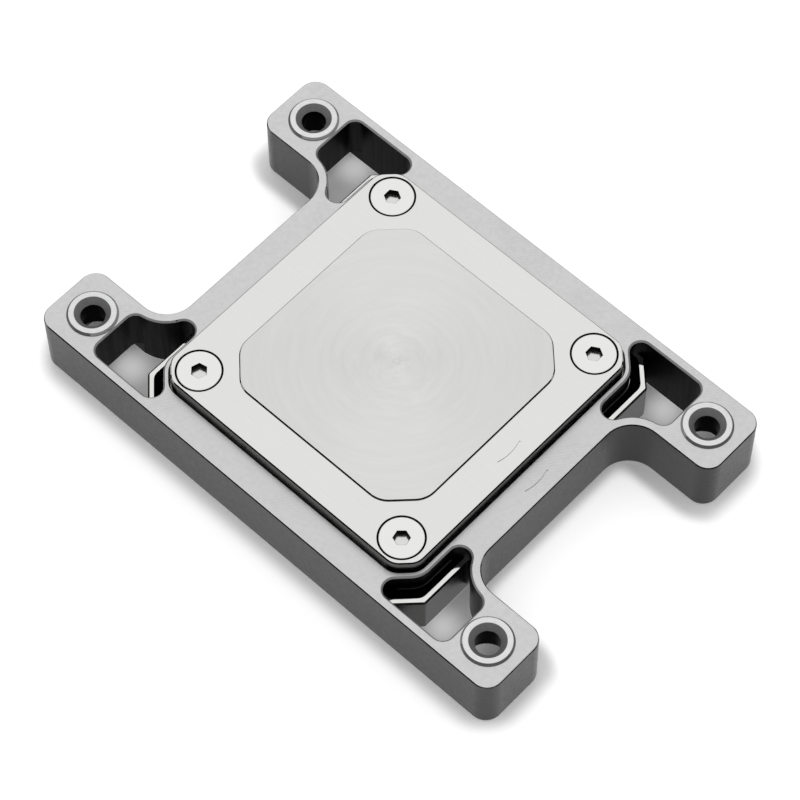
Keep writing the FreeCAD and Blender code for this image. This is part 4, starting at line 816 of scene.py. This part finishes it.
def screwTree():
    tree = bpy.data.node_groups.new("screws_on_points", "GeometryNodeTree")
    for name, kind in (("Geometry", "Geometry"), ("Pattern", "Object"), ("Spacing Long", "Float"),
                       ("Spacing Short", "Float"), ("Finish", "Material")):
        tree.interface.new_socket(name=name, in_out="INPUT", socket_type="NodeSocket" + kind)
    tree.interface.new_socket(name="Geometry", in_out="OUTPUT", socket_type="NodeSocketGeometry")
    given = add(tree, "NodeGroupInput").outputs
    corner = add(tree, "GeometryNodeInputPosition")
    spacing = add(tree, "ShaderNodeCombineXYZ", {0: given["Spacing Long"], 1: given["Spacing Short"]})
    moved = add(tree, "ShaderNodeVectorMath", {0: corner, 1: spacing}, operation="MULTIPLY")
    placed = add(tree, "GeometryNodeSetPosition", {"Geometry": given["Geometry"], "Position": moved})
    pattern = add(tree, "GeometryNodeObjectInfo", {"Object": given["Pattern"]})
    turn = add(tree, "GeometryNodeInputNamedAttribute", {"Name": "turn"}, data_type="FLOAT")
    turned = add(tree, "ShaderNodeCombineXYZ", {2: turn.outputs["Attribute"]})
    screws = add(tree, "GeometryNodeInstanceOnPoints", {
        "Points": placed, "Instance": pattern.outputs["Geometry"], "Rotation": turned})
    real = add(tree, "GeometryNodeRealizeInstances", {"Geometry": screws})
    finished = add(tree, "GeometryNodeSetMaterial", {"Geometry": real, "Material": given["Finish"]})
    add(tree, "NodeGroupOutput", {0: finished})
    return tree


def buildScrews(sizes, look):
    pattern = screwPattern(sizes)
    mesh = bmesh.new()
    turnLayer = mesh.verts.layers.float.new("turn")
    for (signX, signY), turn in sizes["turns"].items():
        vert = mesh.verts.new((signX / 2, signY / 2, 0.0))
        vert[turnLayer] = math.radians(turn)
    points = meshObject("screw_points", mesh)
    tree = screwTree()
    modifier = points.modifiers.new("screws", "NODES")
    modifier.node_group = tree
    given = {item.name: item.identifier for item in tree.interface.items_tree
             if item.in_out == "INPUT"}
    modifier[given["Pattern"]] = pattern
    modifier[given["Spacing Long"]] = sizes["spacingLong"] * mm
    modifier[given["Spacing Short"]] = sizes["spacingShort"] * mm
    modifier[given["Finish"]] = turnedSteel(look, sizes)
    evaluated = points.evaluated_get(bpy.context.evaluated_depsgraph_get())
    data = bpy.data.meshes.new_from_object(evaluated)
    points.modifiers.remove(modifier)
    bpy.data.objects.remove(points)
    bpy.data.objects.remove(pattern)
    screws = bpy.data.objects.new("cold_plate_screws", data)
    scene.collection.objects.link(screws)
    return screws


screws = buildScrews(screwSizes, screwFinish)
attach(screws, "root")
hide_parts("cold_plate_screw_a", "cold_plate_screw_b", "cold_plate_screw_c", "cold_plate_screw_d")
print("screws set:", len(screws.data.polygons), "faces")

# the insert is turned and milled black acetal: faint tool rings and a waxy sheen
insertFinish = {
    "colour": "#141414",
    "worn": "#1E1E1E",
    "cloudScale": 0.4,
    "ringSpacing": 0.4,
    "ringDepth": 0.05,
    "ringWaver": 0.6,
    "bumpDepth": 0.0001,
    "smooth": 0.38,
    "rough": 0.52,
}


def blackAcetal(look):
    material, tree = newMaterial("black_acetal")
    point, _ = measure(tree)
    wave = add(tree, "ShaderNodeTexWave", {
        "Vector": point, "Scale": waveLength / look["ringSpacing"],
        "Distortion": look["ringWaver"], "Detail": 1.0},
        wave_type="RINGS", rings_direction="Z").outputs["Fac"]
    cloud = add(tree, "ShaderNodeTexNoise", {
        "Vector": point, "Scale": look["cloudScale"], "Detail": 3.0})
    tone = add(tree, "ShaderNodeMix", {0: cloud, 6: colour(look["colour"]), 7: colour(look["worn"])},
               data_type="RGBA")
    roughness = add(tree, "ShaderNodeMapRange", {
        "Value": wave, "To Min": look["smooth"], "To Max": look["rough"]})
    bump = add(tree, "ShaderNodeBump", {
        "Height": wave, "Strength": look["ringDepth"], "Distance": look["bumpDepth"]})
    shader = add(tree, "ShaderNodeBsdfPrincipled", {
        "Base Color": tone, "Roughness": roughness, "Normal": bump})
    add(tree, "ShaderNodeOutputMaterial", {"Surface": shader})
    return material


# the jet plate is rolled stainless sheet: long fine lines and a satin sheen
sheetFinish = {
    "colour": "#C4C3C1",
    "lineWidth": 0.12,
    "lineLength": 9.0,
    "lineDepth": 0.08,
    "smooth": 0.22,
    "rough": 0.34,
}


def rolledSteel(look):
    material, tree = newMaterial("rolled_stainless_sheet")
    point, _ = measure(tree)
    linePoint = add(tree, "ShaderNodeMapping", {
        "Vector": point, "Scale": (1 / look["lineLength"], 1 / look["lineWidth"], 1.0)})
    line = add(tree, "ShaderNodeTexNoise", {"Vector": linePoint, "Scale": 1.0, "Detail": 2.0})
    shade = add(tree, "ShaderNodeMapRange", {
        "Value": line, **wideSpan,
        "To Min": 1.0 - look["lineDepth"], "To Max": 1.0})
    tone = add(tree, "ShaderNodeVectorMath", {0: colour(look["colour"])[:3], "Scale": shade},
               operation="SCALE")
    roughness = add(tree, "ShaderNodeMapRange", {
        "Value": line, **wideSpan,
        "To Min": look["smooth"], "To Max": look["rough"]})
    shader = add(tree, "ShaderNodeBsdfPrincipled", {
        "Base Color": tone, "Metallic": 1.0, "Roughness": roughness})
    add(tree, "ShaderNodeOutputMaterial", {"Surface": shader})
    return material


# both seals are moulded rubber: matt black with a fine dusty bloom
sealFinish = {
    "colour": "#0E0E0E",
    "bloom": "#1B1B1B",
    "bloomScale": 0.3,
    "grainSize": 0.25,
    "grainDepth": 0.1,
    "bumpDepth": 0.00005,
    "smooth": 0.65,
    "rough": 0.85,
}


def mouldedRubber(look):
    material, tree = newMaterial("moulded_rubber")
    point, _ = measure(tree)
    grain = add(tree, "ShaderNodeTexNoise", {
        "Vector": point, "Scale": 1 / look["grainSize"], "Detail": 2.0})
    bloom = add(tree, "ShaderNodeTexNoise", {
        "Vector": point, "Scale": look["bloomScale"], "Detail": 3.0})
    tone = add(tree, "ShaderNodeMix", {0: bloom, 6: colour(look["colour"]), 7: colour(look["bloom"])},
               data_type="RGBA")
    roughness = add(tree, "ShaderNodeMapRange", {
        "Value": bloom, "To Min": look["smooth"], "To Max": look["rough"]})
    bump = add(tree, "ShaderNodeBump", {
        "Height": grain, "Strength": look["grainDepth"], "Distance": look["bumpDepth"]})
    shader = add(tree, "ShaderNodeBsdfPrincipled", {
        "Base Color": tone, "Roughness": roughness, "Normal": bump})
    add(tree, "ShaderNodeOutputMaterial", {"Surface": shader})
    return material


dress(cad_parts["flow_insert"], blackAcetal(insertFinish))
dress(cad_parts["jet_plate"], rolledSteel(sheetFinish))
rubber = mouldedRubber(sealFinish)
dress(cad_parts["main_o_ring"], rubber)
dress(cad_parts["inlet_o_ring"], rubber)
print("hidden pieces finished")
